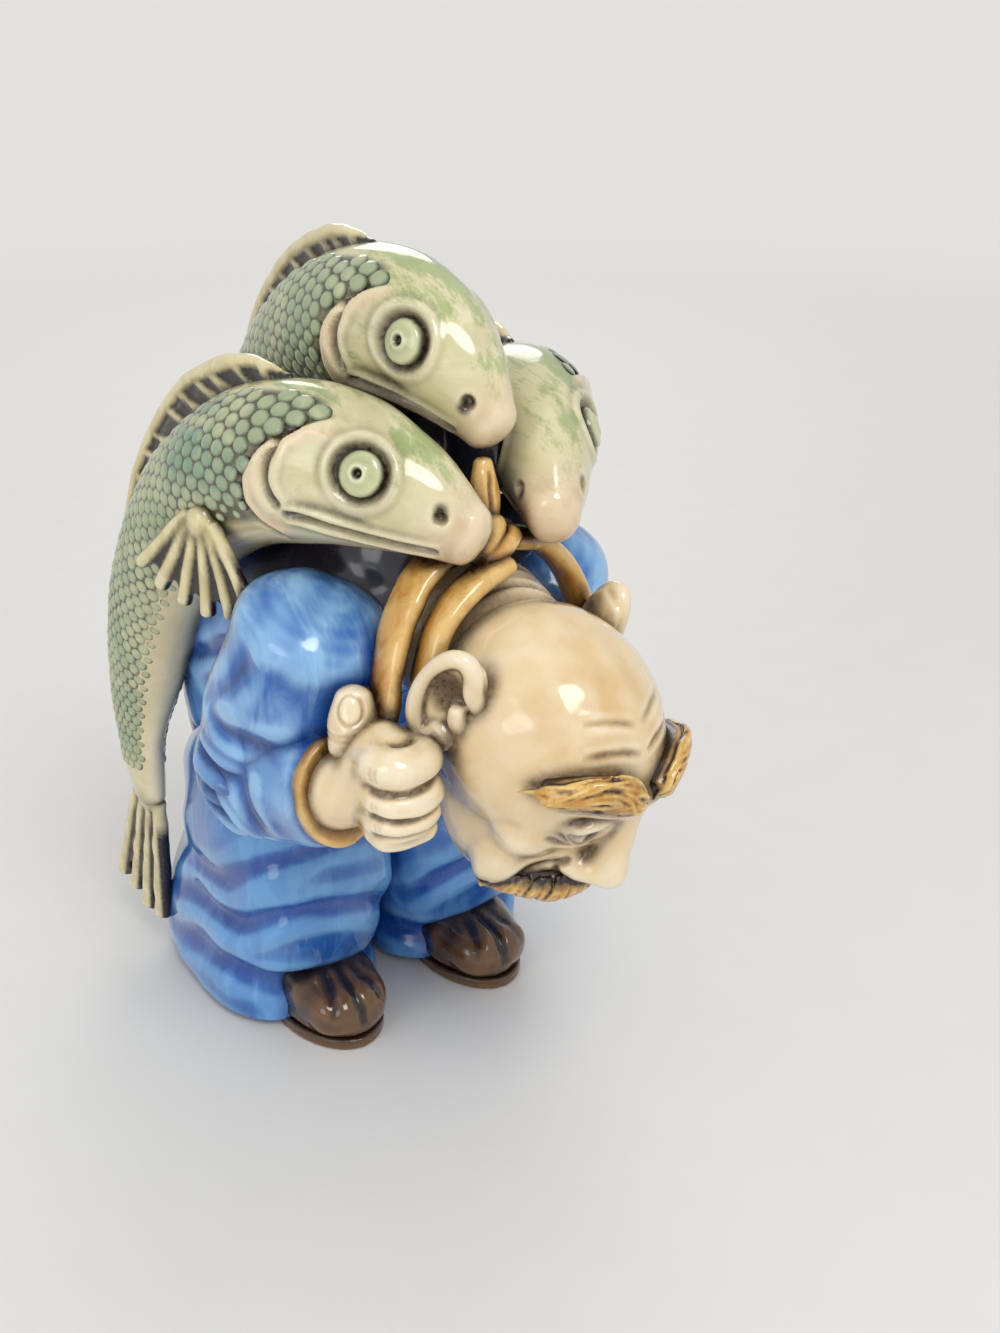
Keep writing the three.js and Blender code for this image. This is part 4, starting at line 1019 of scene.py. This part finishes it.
KNOT_CENTRE, KNOT_HALF_SIZES = np.array((-2, -60, 136.0)), (5.6, 4.0, 3.6)
KNOT_TURNS = (
    (((-4.5, -2, -2.5), (-2.6, -3.4, 1.5), (0.5, -1.5, 3.2), (2, 2.2, 1.5)), (2.2, 2.5, 2.5, 2.0)),
    (((5, -1.5, 0.5), (1.5, -3.8, -0.6), (-2.5, -3, -2.4), (-5, 0.6, -1.6)), (2.0, 2.3, 2.3, 1.9)),
)
knot_forms = [egg(KNOT_CENTRE, KNOT_HALF_SIZES)] + [coil(KNOT_CENTRE + turn, radii) for turn, radii in KNOT_TURNS]
knot = Member("knot", knot_forms, grain=0.35, soften=4)
knot.handle(0.2, size=5, seed=44)
set_down(knot, strap_ochre)
tail_form = coil([(-2, -60, 139), (-2, -59, 145), (-1, -57, 151)], (2.6, 3.6, 2.0), 2.0, up=(0, 1, 0))
knot_tail = Member("knot_tail", [tail_form], grain=0.35, soften=4)
knot_tail.tool([(-2, -62, 140), (-2, -61, 145), (-1.2, -59, 150)], depth=0.4, width=0.5)
set_down(knot_tail, strap_ochre)


# Fish bodies: three fat fish of grey-green glazed clay, each a long coil flattened from side to side
# and bent over his back. Gill covers, mouths and nostrils are cut in, and eye sockets pressed.
def travel_along(points):
    """How far along a line of points each of them is."""
    return np.concatenate([[0], np.cumsum(np.linalg.norm(np.diff(points, axis=0), axis=1))])


def fish_tint(made, paints):
    """Green brushed on the head and back, a flush on the snout and belly, and teal under the scales."""
    place = made.add("ShaderNodeTexCoord").outputs["Object"]
    streaked = made.vector("MULTIPLY", {0: place, 1: (1, 0.25, 0.7)})
    cloud = {"Vector": streaked, "Scale": 120.0, "Detail": 6.0, "Roughness": 0.72}
    cloud = made.add("ShaderNodeTexNoise", cloud).outputs[0]
    patches = made.between(made.plus(cloud, made.times(made.mark("green"), 0.2)), 0.59, 0.71)
    flushed = made.times(made.mark("blush"), made.between(cloud, 0.3, 0.6, 0.6, 1.0))
    for key, leaf, rosy, teal in (("Colour", "#7f9a55", "#d9bb98", "#6b6a50"),
                                  ("Thin", "#a5b777", "#ead3b2", "#8b8866"),
                                  ("Thick", "#5b7c3e", "#bd9870", "#4c5c48")):
        mixed = made.blend(made.times(patches, 0.75), paints[key], colour(leaf))
        mixed = made.blend(flushed, mixed, colour(rosy))
        paints[key] = made.blend(made.mark("scaly"), mixed, colour(teal))
    return paints


fish_green = glazed("fish_green", "#d2ca9c", "#e7dfb9", "#b3ae7c", wash="#33231a", stroke=120.0,
                    stretch=(1, 0.4, 1), thin_share=0.5, gloss=0.09, relief=0.08, tint=fish_tint)

FISH_HALF_HEIGHTS = (6.5, 13, 16.5, 16.5, 15.5, 14.5, 12.5, 9.5, 6)
FISH_HALF_WIDTHS = (5.5, 10.5, 13.5, 14, 13, 11, 8, 5, 3.4)
SIDE_LINE = [(-10, -66, 140), (-18, -52, 147), (-26, -36, 150), (-32, -17, 145), (-36, 2, 132), (-40, 17, 111),
             (-43, 27, 87), (-45, 30, 68), (-45.5, 28, 50)]
MIDDLE_LINE = [(1, -57, 158), (-2, -46, 169), (-4, -30, 173), (-5, -12, 169.5), (-5.5, 7, 159), (-5, 22, 143),
               (-3, 33, 119), (-1, 40, 93), (0, 44, 64)]
LAST_STATION = 8
STATION_LENGTH = 18.5
COIL_STEPS = 400
FISH_UP = ((0, 0, 1), (0, 1, 0))
POINTS_AT_ONCE = 8000


class FishCoil:
    """The plain coil of one fish. Stations run from 0 at the snout to the last at the tail, and angles
    from -90 under the belly, over 0 at the middle of a flank, to 90 on the back."""

    def __init__(self, line):
        shares = np.linspace(0, 1, COIL_STEPS + 1)
        self.line = line
        self.at, self.ahead, self.tall, self.wide = axes_along(line, FISH_UP, shares)
        self.half_wide, self.half_tall = flow(FISH_HALF_WIDTHS, shares)[:, 0], flow(FISH_HALF_HEIGHTS, shares)[:, 0]
        self.stations = np.linspace(0, LAST_STATION, COIL_STEPS + 1)
        self.travel = travel_along(self.at)

    def skin(self, station, degrees, out=-1):
        """A place on one flank, the right one if out is -1, with the way out there and the way to the tail."""
        i = int(round(np.clip(station / LAST_STATION, 0, 1) * COIL_STEPS))
        a, b, turn = self.half_wide[i], self.half_tall[i], math.radians(degrees if out < 0 else 180 - degrees)
        way_out = unit(self.wide[i] * math.cos(turn) / a + self.tall[i] * math.sin(turn) / b)
        at = self.at[i] + self.wide[i] * a * math.cos(turn) + self.tall[i] * b * math.sin(turn)
        return at, way_out, self.ahead[i]

    def marks_on_skin(self, marks, out):
        return [self.skin(station, degrees, out)[0] for station, degrees in marks]

    def upward(self, station):
        """The way up, out of the back."""
        return self.tall[int(station / LAST_STATION * COIL_STEPS)]

    def round_about(self, points):
        """The station and the angle that each point is nearest to."""
        nearest = np.empty(len(points), int)
        for start in range(0, len(points), POINTS_AT_ONCE):
            part = points[start:start + POINTS_AT_ONCE]
            gap = (part ** 2).sum(1)[:, None] - 2 * part @ self.at.T + (self.at ** 2).sum(1)
            nearest[start:start + POINTS_AT_ONCE] = gap.argmin(1)
        offset = points - self.at[nearest]
        spacing = np.linalg.norm(self.at[COIL_STEPS // 2] - self.at[COIL_STEPS // 2 - 1])
        past = np.clip((offset * self.ahead[nearest]).sum(1) / spacing, -0.6, 0.6)
        across = (offset * self.wide[nearest]).sum(1) / self.half_wide[nearest]
        above = (offset * self.tall[nearest]).sum(1) / self.half_tall[nearest]
        return (nearest + past) / COIL_STEPS * LAST_STATION, np.degrees(np.arctan2(above, np.abs(across)))


FISH = {
    "right_fish": {"coil": FishCoil(SIDE_LINE), "fin": 9.5, "tip": (-45, 41, 14), "outer_flank": -1},
    "left_fish": {"coil": FishCoil([(-x, y, z) for x, y, z in SIDE_LINE]), "fin": 9.5, "tip": (45, 41, 14),
                  "outer_flank": 1},
    "middle_fish": {"coil": FishCoil(MIDDLE_LINE), "fin": 6.5, "tip": (1, 50, 28), "outer_flank": None},
}
GILL_EDGE = ((1.62, 48), (1.86, 32), (2.14, 15), (2.36, -4), (2.42, -22), (2.34, -38), (2.18, -50))
GILL_FOLD = ((1.86, 36), (2.02, 18), (2.12, 0), (2.1, -16), (2.02, -28))
MOUTH_LINE = ((2.02, -31), (1.7, -33), (1.3, -36), (0.9, -38), (0.5, -38), (0.15, -34))
CHEEK_FOLD = ((1.85, -22), (1.55, -20), (1.2, -22), (0.9, -27))
NOSTRIL = (0.3, 22)
EYE_PLACE = (1.2, 18.0)
SOCKET_RADIUS, SOCKET_DEPTH, SOCKET_RIM = 5.9, 1.5, 0.65
GILL_SWELLING, GILL_STEP, GILL_EDGE_SOFTNESS = 1.3, 1.15, 0.28
NOSTRIL_RADIUS, NOSTRIL_DEPTH = 1.25, 2.2
SCALES_FROM, SCALES_TO = 1.75, 7.5
DORSAL_END, BARE_BACK = 5.9, 64


def gill_edge_at(angle):
    """The station where the gill cover ends, at an angle."""
    stations, angles = np.array(GILL_EDGE[::-1]).T
    return np.interp(angle, angles, stations)


for seed, (name, fish) in enumerate(FISH.items()):
    plain = fish["coil"]
    body_form = coil(plain.line, FISH_HALF_WIDTHS, FISH_HALF_HEIGHTS, up=FISH_UP, sides=56, steps=120)
    body = fish["body"] = Member(f"{name}_body", [body_form], grain=0.54, soften=6)
    station, angle = plain.round_about(body.points)
    behind = (station - gill_edge_at(angle)) * STATION_LENGTH
    span = ramp(angle, 52, 34) * ramp(angle, -62, -48)
    cover = 1 / (1 + np.exp(np.clip(behind / GILL_EDGE_SOFTNESS, -40, 40)))
    swelling = GILL_SWELLING * np.exp(-np.clip(-behind, 0, None) / 4.5)
    body.raise_by(span * (swelling * cover - GILL_STEP * dab(behind - 1.3, 1.3) * (1 - cover)))
    body.smooth(3)
    between_lips = np.zeros(len(body.points))
    for _, out in SIDES:
        body.tool(plain.marks_on_skin(GILL_FOLD, out), depth=1.7, width=1.15, lip=0.25, steps=40)
        lips = plain.marks_on_skin(MOUTH_LINE, out)
        gap, share = body.tool(lips, depth=1.9, width=0.85, lip=0.35, fade=0.22, steps=40)
        ends = np.clip(np.minimum(share / 0.04, (1 - share) / 0.2), 0, 1)
        between_lips = np.maximum(between_lips, 0.95 * dab(gap, 0.85, 4) * ends)
        body.tool(plain.marks_on_skin(CHEEK_FOLD, out), depth=0.25, width=1.5, steps=40)
        gap = body.away_from(plain.skin(*EYE_PLACE, out)[0])
        body.raise_by(SOCKET_RIM * dab(gap - SOCKET_RADIUS - 1.2, 1.05) - SOCKET_DEPTH * dab(gap, SOCKET_RADIUS, 12))
        nostril = body.onto(plain.marks_on_skin([NOSTRIL], out))[0]
        body.raise_by(-NOSTRIL_DEPTH * dab(body.away_from(nostril), NOSTRIL_RADIUS, 4))
    body.handle(0.25, size=18, seed=50 + seed)
    body.marks["green"] = np.clip((angle - 22) / 75, -0.7, 0.6) + 0.9 * dab(station - 1.75, 0.25) * dab(angle + 14, 14)
    body.marks["blush"] = (np.clip(0.9 - station * 1.6, 0, 1) + np.clip((-30 - angle) / 60, 0, 0.35)
                           + 0.8 * dab(behind + 2, 2.5) * span)
    below_fin = np.where(station < DORSAL_END, BARE_BACK, 90) - angle
    body.marks["scaly"] = (ramp(behind, 1, 4) * ramp(angle, -44, -36) * ramp(below_fin, 0, 6)
                           * ramp(station, SCALES_TO, SCALES_TO - 0.5))
    # The mouth slits, eye sockets and nostrils are painted dark through the wash layer, as wash and painted shade in
    # these hollows.
    body.marks["socket"] = between_lips
    for _, out in SIDES:
        in_socket = dab(body.away_from(plain.skin(*EYE_PLACE, out)[0]), SOCKET_RADIUS, 20)
        nostril = body.onto(plain.marks_on_skin([NOSTRIL], out))[0]
        dark = np.maximum(in_socket, dab(body.away_from(nostril), 1.5, 6))
        body.marks["socket"] = np.maximum(body.marks["socket"], dark)
    set_down(body, fish_green)


# Scales: low domes pressed on the flanks one by one with a round tube, each row set half a scale on
# from the last. They shrink towards the tail, and stop at the gill cover, the belly and the back fin.
scale_teal = glazed("scale_teal", "#a2b08a", "#d8d4a8", "#629080", wash="#22241a", stroke=95.0,
                    thin_share=0.55, gloss=0.1, relief=0.04)


def point_tree(name, build):
    """A tree that sets one small form on every point, turned by the point's own out and along."""
    tree, made, given = new_tree(name, (("Width", "Float", 1.0), ("Height", "Float", 0.5), ("Top share", "Float", 0.7),
                                        ("Uneven", "Float", 0.1), ("Seed", "Int", 1)))

    def carried(mark):
        return made.add("GeometryNodeInputNamedAttribute", {"Name": mark}, data_type="FLOAT_VECTOR").outputs[0]

    turn = made.add("FunctionNodeAxesToRotation", {"Primary Axis": carried("out"), "Secondary Axis": carried("along")},
                    primary_axis="Z", secondary_axis="X").outputs[0]
    low, high = (made.maths(way, 1.0, given["Uneven"]) for way in ("SUBTRACT", "ADD"))
    chance_size = {2: low, 3: high, "Seed": given["Seed"]}
    chance_size = made.add("FunctionNodeRandomValue", chance_size, data_type="FLOAT").outputs[1]
    seeds = made.add("GeometryNodeMeshToPoints", {"Mesh": given["Geometry"]}).outputs[0]
    placed = made.add("GeometryNodeInstanceOnPoints", {
        "Points": seeds, "Instance": build(made, given), "Rotation": turn,
        "Scale": made.vector("SCALE", {0: carried("size"), "Scale": chance_size})}).outputs[0]
    close_tree(made, placed, given["Paint"])
    return tree


def scale_form(made, given):
    """A low dome with a wash round its foot."""
    disc = made.add("GeometryNodeMeshCone", {
        "Vertices": 12, "Side Segments": 3, "Radius Top": 0.0, "Radius Bottom": given["Width"], "Depth": 0.1},
        fill_type="NONE").outputs[0]
    x, y, _ = made.add("ShaderNodeSeparateXYZ", {0: made.add("GeometryNodeInputPosition").outputs[0]}).outputs
    flat = made.add("ShaderNodeCombineXYZ", {"X": x, "Y": y}).outputs[0]
    reach = made.maths("DIVIDE", made.vector("LENGTH", {0: flat}, "Value"), given["Width"])
    rise = made.times(made.maths("SUBTRACT", 1.0, made.maths("POWER", reach, 2.6)), given["Height"])
    lifted = made.add("ShaderNodeCombineXYZ", {"X": x, "Y": y, "Z": made.maths("SUBTRACT", rise, 0.2)}).outputs[0]
    domed = made.add("GeometryNodeSetPosition", {"Geometry": disc, "Position": lifted}).outputs[0]
    washed_and_shaded = {"Geometry": domed, "Name": "wash", "Value": made.between(reach, 0.6, 1.0)}
    return made.add("GeometryNodeStoreNamedAttribute", washed_and_shaded, data_type="FLOAT", domain="POINT").outputs[0]


SCALE_TREE = point_tree("pressed_scales", scale_form)
SCALE_PITCH, ROW_SHARE = 3.7, 0.86
SCALE_RADIUS, SCALE_HEIGHT = SCALE_PITCH * 0.575, 0.62
PITCH_BY_STATION = (2.0, 5.5, 7.5), (0.98, 0.86, 0.7)
LOWEST_BY_STATION = (2.5, 3.4, 4.6, 7.5), (-36, -36, -58, -58)
TAIL_HIGHEST = 86
for seed, (name, fish) in enumerate(FISH.items()):
    plain, body = fish["coil"], fish["body"]
    seeds, outs, alongs, sizes = [], [], [], []
    row, reach = 0, np.interp(SCALES_FROM, plain.stations, plain.travel)
    while reach < np.interp(SCALES_TO, plain.stations, plain.travel):
        where = float(np.interp(reach, plain.travel, plain.stations))
        pitch = SCALE_PITCH * float(np.interp(where, *PITCH_BY_STATION))
        row_step = float(np.interp(reach + pitch * ROW_SHARE, plain.travel, plain.stations)) - where
        lowest = float(np.interp(where, *LOWEST_BY_STATION))
        highest = BARE_BACK - 2 if where < DORSAL_END else TAIL_HIGHEST
        turn = np.radians(np.linspace(-60, 88, 90))
        i = int(where / LAST_STATION * COIL_STEPS)
        round_by = travel_along(np.stack([plain.half_wide[i] * np.cos(turn), plain.half_tall[i] * np.sin(turn)], 1))
        for step in np.arange((row % 2) * pitch / 2, round_by[-1], pitch):
            degrees = math.degrees(np.interp(step, round_by, turn))
            if where < gill_edge_at(degrees) + 0.1 or not lowest <= degrees <= highest:
                continue
            for _, out in SIDES:
                at, way_out, way_back = plain.skin(where, degrees, out)
                stretch = np.linalg.norm(plain.skin(where + row_step, degrees, out)[0] - at) / SCALE_PITCH / ROW_SHARE
                shrunk = float(np.clip((degrees - lowest) / 14, 0.65, 1.0))
                seeds.append(at)
                outs.append(way_out)
                alongs.append(way_back)
                sizes.append((stretch * 1.04 * shrunk, pitch / SCALE_PITCH * shrunk,
                              float(np.clip((degrees + 66) / 30, 0.3, 1.0))))
        row, reach = row + 1, reach + pitch * ROW_SHARE
    seeds, outs = np.array(seeds), np.array(outs)
    seeds = seeds + outs * ((body.onto(seeds) - seeds) * outs).sum(1)[:, None]
    given = {"Width": SCALE_RADIUS, "Height": SCALE_HEIGHT, "Uneven": 0.05, "Seed": seed + 1, "Paint": scale_teal}
    scales = grown(SCALE_TREE, f"{name}_scales", seeds, (), given, {"out": outs, "along": alongs, "size": sizes})
    place_points(scales, (points_of(scales) + stance) * MM)
    scales.polygons.foreach_set("use_smooth", np.ones(len(scales.polygons), bool))
    scale_piece = bpy.data.objects.new(f"{name}_scales", scales)
    scene.collection.objects.link(scale_piece)
    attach(scale_piece, "root")


# Fish eyes: pellets of green glazed clay pressed into the sockets and domed a little. Each has a
# round pupil pricked in its middle, where the dark wash stays.
fish_eye_green = glazed("fish_eye_green", "#c2c594", "#dfe0ba", "#a3ab74", wash="#1a110b", stroke=150.0,
                        thin_share=0.4, wash_and_shade_share=1.2, gloss=0.07, relief=0.04)
PELLET_RADII = (4.6, 4.6, 4.5)
PELLET_DEPTHS = (-3, -1, -0.2)
PUPIL_RADIUS, PUPIL_DEPTH = 0.95, 1.5
for name, fish in FISH.items():
    for side, out in SIDES:
        at, way_out, _ = fish["coil"].skin(*EYE_PLACE, out)
        turn = np.array(Vector(way_out).to_track_quat("Y", "Z").to_matrix())
        pellet_form = coil([at + turn @ (0, depth, 0) for depth in PELLET_DEPTHS], PELLET_RADII, up=turn @ (0, 0, 1),
                           dome=0.32, sides=48)
        pellet = Member(f"{name}_eye_{side}", [pellet_form], grain=0.26, soften=5)
        gap = np.linalg.norm(np.cross(pellet.points - at, way_out), axis=1)
        front = (pellet.points - at) @ way_out > -0.8
        pellet.raise_by(front * (0.35 * dab(gap, 2.1, 6) - PUPIL_DEPTH * dab(gap, PUPIL_RADIUS, 4)))
        pellet.marks["socket"] = front * dab(gap, 1.1, 6)
        set_down(pellet, fish_eye_green)


# Back fins: a low web of clay pressed along each fish's back, with a row of rolled rays stuck in it
# that lean to the tail, and a thicker rim over their ends.
def ray_form(made, given):
    """A ray, wider or narrower at its top than at its foot."""
    return made.add("GeometryNodeMeshCone", {
        "Vertices": 12, "Side Segments": 4, "Radius Top": made.times(given["Width"], given["Top share"]),
        "Radius Bottom": given["Width"], "Depth": given["Height"]}, fill_type="TRIANGLE_FAN").outputs[0]


fin_olive = glazed("fin_olive", "#b9aa76", "#e6d9ab", "#8a7c48", wash="#1f140c", stroke=190.0,
                   stretch=(1, 1, 0.5), thin_share=0.55, wash_and_shade_share=1.2, gloss=0.11, relief=0.04)
RAY_TREE = point_tree("fin_rays", ray_form)
FIN_FROM, FIN_TO = 2.3, 5.8
FIN_PLACES = np.linspace(FIN_FROM, FIN_TO, 15)
FIN_CREST = np.interp(FIN_PLACES, (FIN_FROM, 2.8, 3.6, 4.4, 5.3, FIN_TO), (0.12, 0.6, 1.0, 0.95, 0.6, 0.15))
RIM_RADII = np.interp(FIN_PLACES, (FIN_FROM, 3.0, 5.0, FIN_TO), (0.8, 2.1, 1.8, 0.9))
RAY_SPACING, RAY_SINK, RAY_WIDTH = 0.24, 1.5, 1.9
UNDER_FIN = slice(100, 320, 4)  # the places of the plain coil that the fin is measured from
for seed, (name, fish) in enumerate(FISH.items()):
    plain, crest = fish["coil"], FIN_CREST * fish["fin"]

    def along_back(rises):
        """A line along the back, raised out of it."""
        return [plain.skin(s, 90)[0] + plain.upward(s) * rise for s, rise in zip(FIN_PLACES, rises)]

    web = coil(along_back(crest * 0.3 - 0.6), 1.0, crest * 0.58 + 0.4, up=FISH_UP, steps=90, sides=24)
    rim = coil(along_back(crest * 0.86 - 1.6 * dab(FIN_PLACES - FIN_FROM, 0.22)), RIM_RADII, RIM_RADII * 0.95,
               up=FISH_UP, steps=90, sides=20)
    feet, leans, alongs, sizes = [], [], [], []
    fin_chance = np.random.default_rng(80 + seed)
    for s in np.arange(2.5, 5.7, RAY_SPACING):
        s = s + fin_chance.uniform(-0.04, 0.04)
        at, _, way_back = plain.skin(s, 90)
        lean = unit(plain.upward(s) + fin_chance.uniform(0.8, 1.1) * way_back)
        feet.append(at - lean * RAY_SINK)
        leans.append(lean)
        alongs.append(way_back)
        sizes.append((fin_chance.uniform(0.8, 1.15), 1.0, float(np.interp(s, FIN_PLACES, crest)) + 1.6))
    rays = grown(RAY_TREE, f"{name}_dorsal_rays", feet, (),
                 {"Width": RAY_WIDTH, "Height": 1.0, "Top share": 0.7, "Uneven": 0.05, "Seed": 3, "Paint": fin_olive},
                 {"out": leans, "along": alongs, "size": sizes})
    dorsal = Member(f"{name}_dorsal_fin", [web, as_form(rays), rim], grain=0.42, soften=5)
    dorsal.handle(0.15, size=6, seed=90 + seed)
    i = ((dorsal.points[:, None, :] - plain.at[None, UNDER_FIN]) ** 2).sum(2).argmin(1)
    i = i * UNDER_FIN.step + UNDER_FIN.start
    above = dorsal.points - plain.at[i] - plain.tall[i] * plain.half_tall[i][:, None]
    aside = np.abs((above * plain.wide[i]).sum(1))
    risen = (above * plain.tall[i]).sum(1) / np.interp(plain.stations[i], FIN_PLACES, crest)
    # The web between the rays, below the rim, is painted dark through the wash layer, as wash and painted shade
    # between the rays.
    dorsal.marks["socket"] = 0.9 * ramp(aside, 1.55, 1.2) * ramp(risen, 0.62, 0.5)
    set_down(dorsal, fin_olive)


# Side and tail fins: fans of rolled rays with a thin web between them, pressed on the outer flank of
# the two side fish and on the end of each tail.
WEB_ROWS = 14
SIDE_FIN_PLACE = (3.15, -28)
TAIL_SINK, TAIL_FACES = 1.5, (1, 0.15, 0)


def fan_fin(name, root, axis, normal, *, length, spread, count, thick, width, widening, root_share):
    """A fan of rays from a root, with the edge of its web notched between the ray tips. The rays are
    count in number, width wide at the foot and widened by a share, and the web is thick through."""
    axis = unit(axis)
    normal = unit(normal - axis * (normal @ axis))
    sideways = np.cross(normal, axis)
    half_spread, root_half = math.radians(spread) / 2, length * root_share

    def from_root(angle, share):
        return root + sideways * root_half * angle / half_spread * share

    def way(angle):
        return axis * math.cos(angle) + sideways * math.sin(angle)

    angles = np.linspace(-half_spread, half_spread, count)
    rays = grown(RAY_TREE, f"{name}_rays", [from_root(a, 0.9) for a in angles], (),
                 {"Width": width, "Height": 1.0, "Top share": widening, "Uneven": 0.04, "Seed": 5, "Paint": fin_olive},
                 {"out": [way(a) for a in angles], "along": [normal] * count,
                  "size": [(1, 1, length - 1.6 * abs(math.sin(a))) for a in angles]})
    columns = np.linspace(-half_spread, half_spread, count * 4 - 3)
    front = []
    for t in np.linspace(0, 1, WEB_ROWS):
        for n, a in enumerate(columns):
            notch = 1 - 0.12 * (0.5 - 0.5 * math.cos(math.pi * n / 2))
            front.append(from_root(a, 0.86) + way(a) * length * t * notch * 0.93 + normal * thick / 2)
    back, behind = [point - normal * thick for point in front], len(front)
    grid = np.arange(behind).reshape(WEB_ROWS, len(columns))
    corners = [part.ravel().tolist() for part in (grid[:-1, :-1], grid[:-1, 1:], grid[1:, 1:], grid[1:, :-1])]
    faces = list(zip(*corners)) + [tuple(i + behind for i in face) for face in zip(*corners[::-1])]
    border = np.concatenate([grid[0], grid[1:, -1], grid[-1, -2::-1], grid[-2:0:-1, 0]]).tolist()
    faces += [(b, a, a + behind, b + behind) for a, b in zip(border, border[1:] + border[:1])]
    root_pad = egg(root + axis, (root_half * 1.1, root_half * 0.95, width * 1.5),
                   np.stack([axis, sideways, normal], 1))
    fin = Member(name, [as_form(rays), (np.array(front + back), faces), root_pad], grain=0.4, soften=8)
    aside, along = np.abs((fin.points - root) @ normal), (fin.points - root) @ axis
    web_edge = thick * 1.05
    foot = length * 0.15
    # The web between the rays is painted dark through the wash layer, as wash and painted shade between the rays.
    fin.marks["socket"] = 0.92 * ramp(aside, web_edge, web_edge - 0.3) * ramp(along, foot, foot + 5)
    return fin


for seed, (name, fish) in enumerate(FISH.items()):
    out = fish["outer_flank"]
    if out:
        at, way_out, way_back = fish["coil"].skin(*SIDE_FIN_PLACE, out)
        fin = fan_fin(f"{name}_pectoral_fin", at + way_out * 0.8, way_back * 0.25 - np.array((0, 0, 1.0)), way_out,
                      length=22.0, spread=72, count=6, thick=1.1, width=1.5, widening=1.2, root_share=0.16)
        fin.handle(0.15, size=7, seed=60 + seed)
        set_down(fin, fin_olive)
    end, tip = np.array(fish["coil"].line[-1], float), np.array(fish["tip"], float)
    root = end - unit(tip - end) * TAIL_SINK
    length = float(np.linalg.norm(tip - root))
    tail = fan_fin(f"{name}_tail_fin", root, tip - root, np.array(TAIL_FACES), length=length,
                   spread=15, count=4, thick=1.8, width=1.9, widening=1.4, root_share=0.12)
    tail.handle(0.2, size=8, seed=70 + seed)
    set_down(tail, fin_olive)


# The wash and painted shade: thin brown slip brushed over the whole figure and wiped off, so that it stays
# in every hollow and where two members meet, with painted shade over the broad hollows and for some
# millimetres round each meeting, and the high places wear through to paler clay.
GRID = 1.0
MARGIN = 4
# The fewer rounds find the fine crevices that hold wash; the most rounds paint shade over broad hollows such as folds
# and cheeks.
HOLLOWS = ((5, 0.06, 0.4), (24, 0.26, 0.55), (90, 1.0, 0.35))  # rounds of smoothing, full depth, weight
# The nearest reach finds the wash in the joins; the wider reaches paint shade round each meeting of two members.
MEETINGS = ((4, 1.2, 1.0), (6, 3.2, 0.75), (8, 6.0, 0.45))  # rounds of blurring, reach, weight
WASH_AND_SHADE_IN_HOLLOWS, WASH_AND_SHADE_AT_MEETINGS, WASH_UNDER_SCALES = 0.9, 0.85, 0.62
ROOM_ROUND_MEMBER = 9
low_corner = np.min([m.points.min(0) for m in MEMBERS], 0) - MARGIN
grid_size = ((np.max([m.points.max(0) for m in MEMBERS], 0) + MARGIN - low_corner) / GRID).astype(int) + 1


def cell_of(points):
    return ((points - low_corner) / GRID).astype(int)


filled = {m.name: np.unique(np.ravel_multi_index(cell_of(m.points).T, grid_size)) for m in MEMBERS}
busy = np.zeros(int(np.prod(grid_size)), np.float32)
for cells in filled.values():
    busy[cells] += 1
for member in MEMBERS:
    normals = member.normals()
    even, done, hollow, ridge = member.points, 0, 0.0, 0.0
    for times, full, weight in HOLLOWS:
        for _ in range(times - done):
            even = member.even(even)
        done = times
        depth = ((even - member.points) * normals).sum(1) / full
        hollow = hollow + weight * np.clip(depth, 0, 1.3)
        ridge = ridge + weight * np.clip(-depth - 0.25, 0, 1)
    others = busy.copy()
    others[filled[member.name]] -= 1
    others = np.minimum(others, 1).reshape(grid_size)
    low = np.maximum(cell_of(member.points.min(0)) - ROOM_ROUND_MEMBER, 0)
    high = np.minimum(cell_of(member.points.max(0)) + ROOM_ROUND_MEMBER + 1, grid_size)
    room = others[low[0]:high[0], low[1]:high[1], low[2]:high[2]]
    meeting_wash_and_shade = 0.0
    for times, reach, weight in MEETINGS:
        for _ in range(times):
            for axis in (0, 1, 2):
                room = 0.5 * room + 0.25 * (np.roll(room, 1, axis) + np.roll(room, -1, axis))
        cells = np.clip(cell_of(member.points + normals * reach) - low, 0, np.array(room.shape) - 1)
        meeting_wash_and_shade = np.maximum(meeting_wash_and_shade, weight * ramp(room[tuple(cells.T)], 0.1, 0.3))
    for _ in range(6):
        meeting_wash_and_shade = member.even(meeting_wash_and_shade)
    # Wash and painted shade together: dark in the hollows, near other members and in the marked recesses.
    wash = 1 - (1 - WASH_AND_SHADE_IN_HOLLOWS * np.clip(hollow, 0, 1)) * (1 - WASH_AND_SHADE_AT_MEETINGS * meeting_wash_and_shade)
    wash = np.maximum(wash, member.marks.pop("socket", 0.0))
    wash = np.maximum(wash, WASH_UNDER_SCALES * member.marks.get("scaly", 0.0))
    member.marks["wash"] = member.even(np.clip(wash, 0, 1))
    member.marks["wear"] = np.clip(ridge, 0, 1) * (1 - meeting_wash_and_shade)
    place_points(member.mesh, (member.points + stance) * MM)
    for mark, values in member.marks.items():
        layer = member.mesh.attributes.new(mark, "FLOAT", "POINT")
        layer.data.foreach_set("value", np.asarray(values, np.float32))
    member.mesh.polygons.foreach_set("use_smooth", np.ones(len(member.mesh.polygons), bool))
    member.mesh.update()
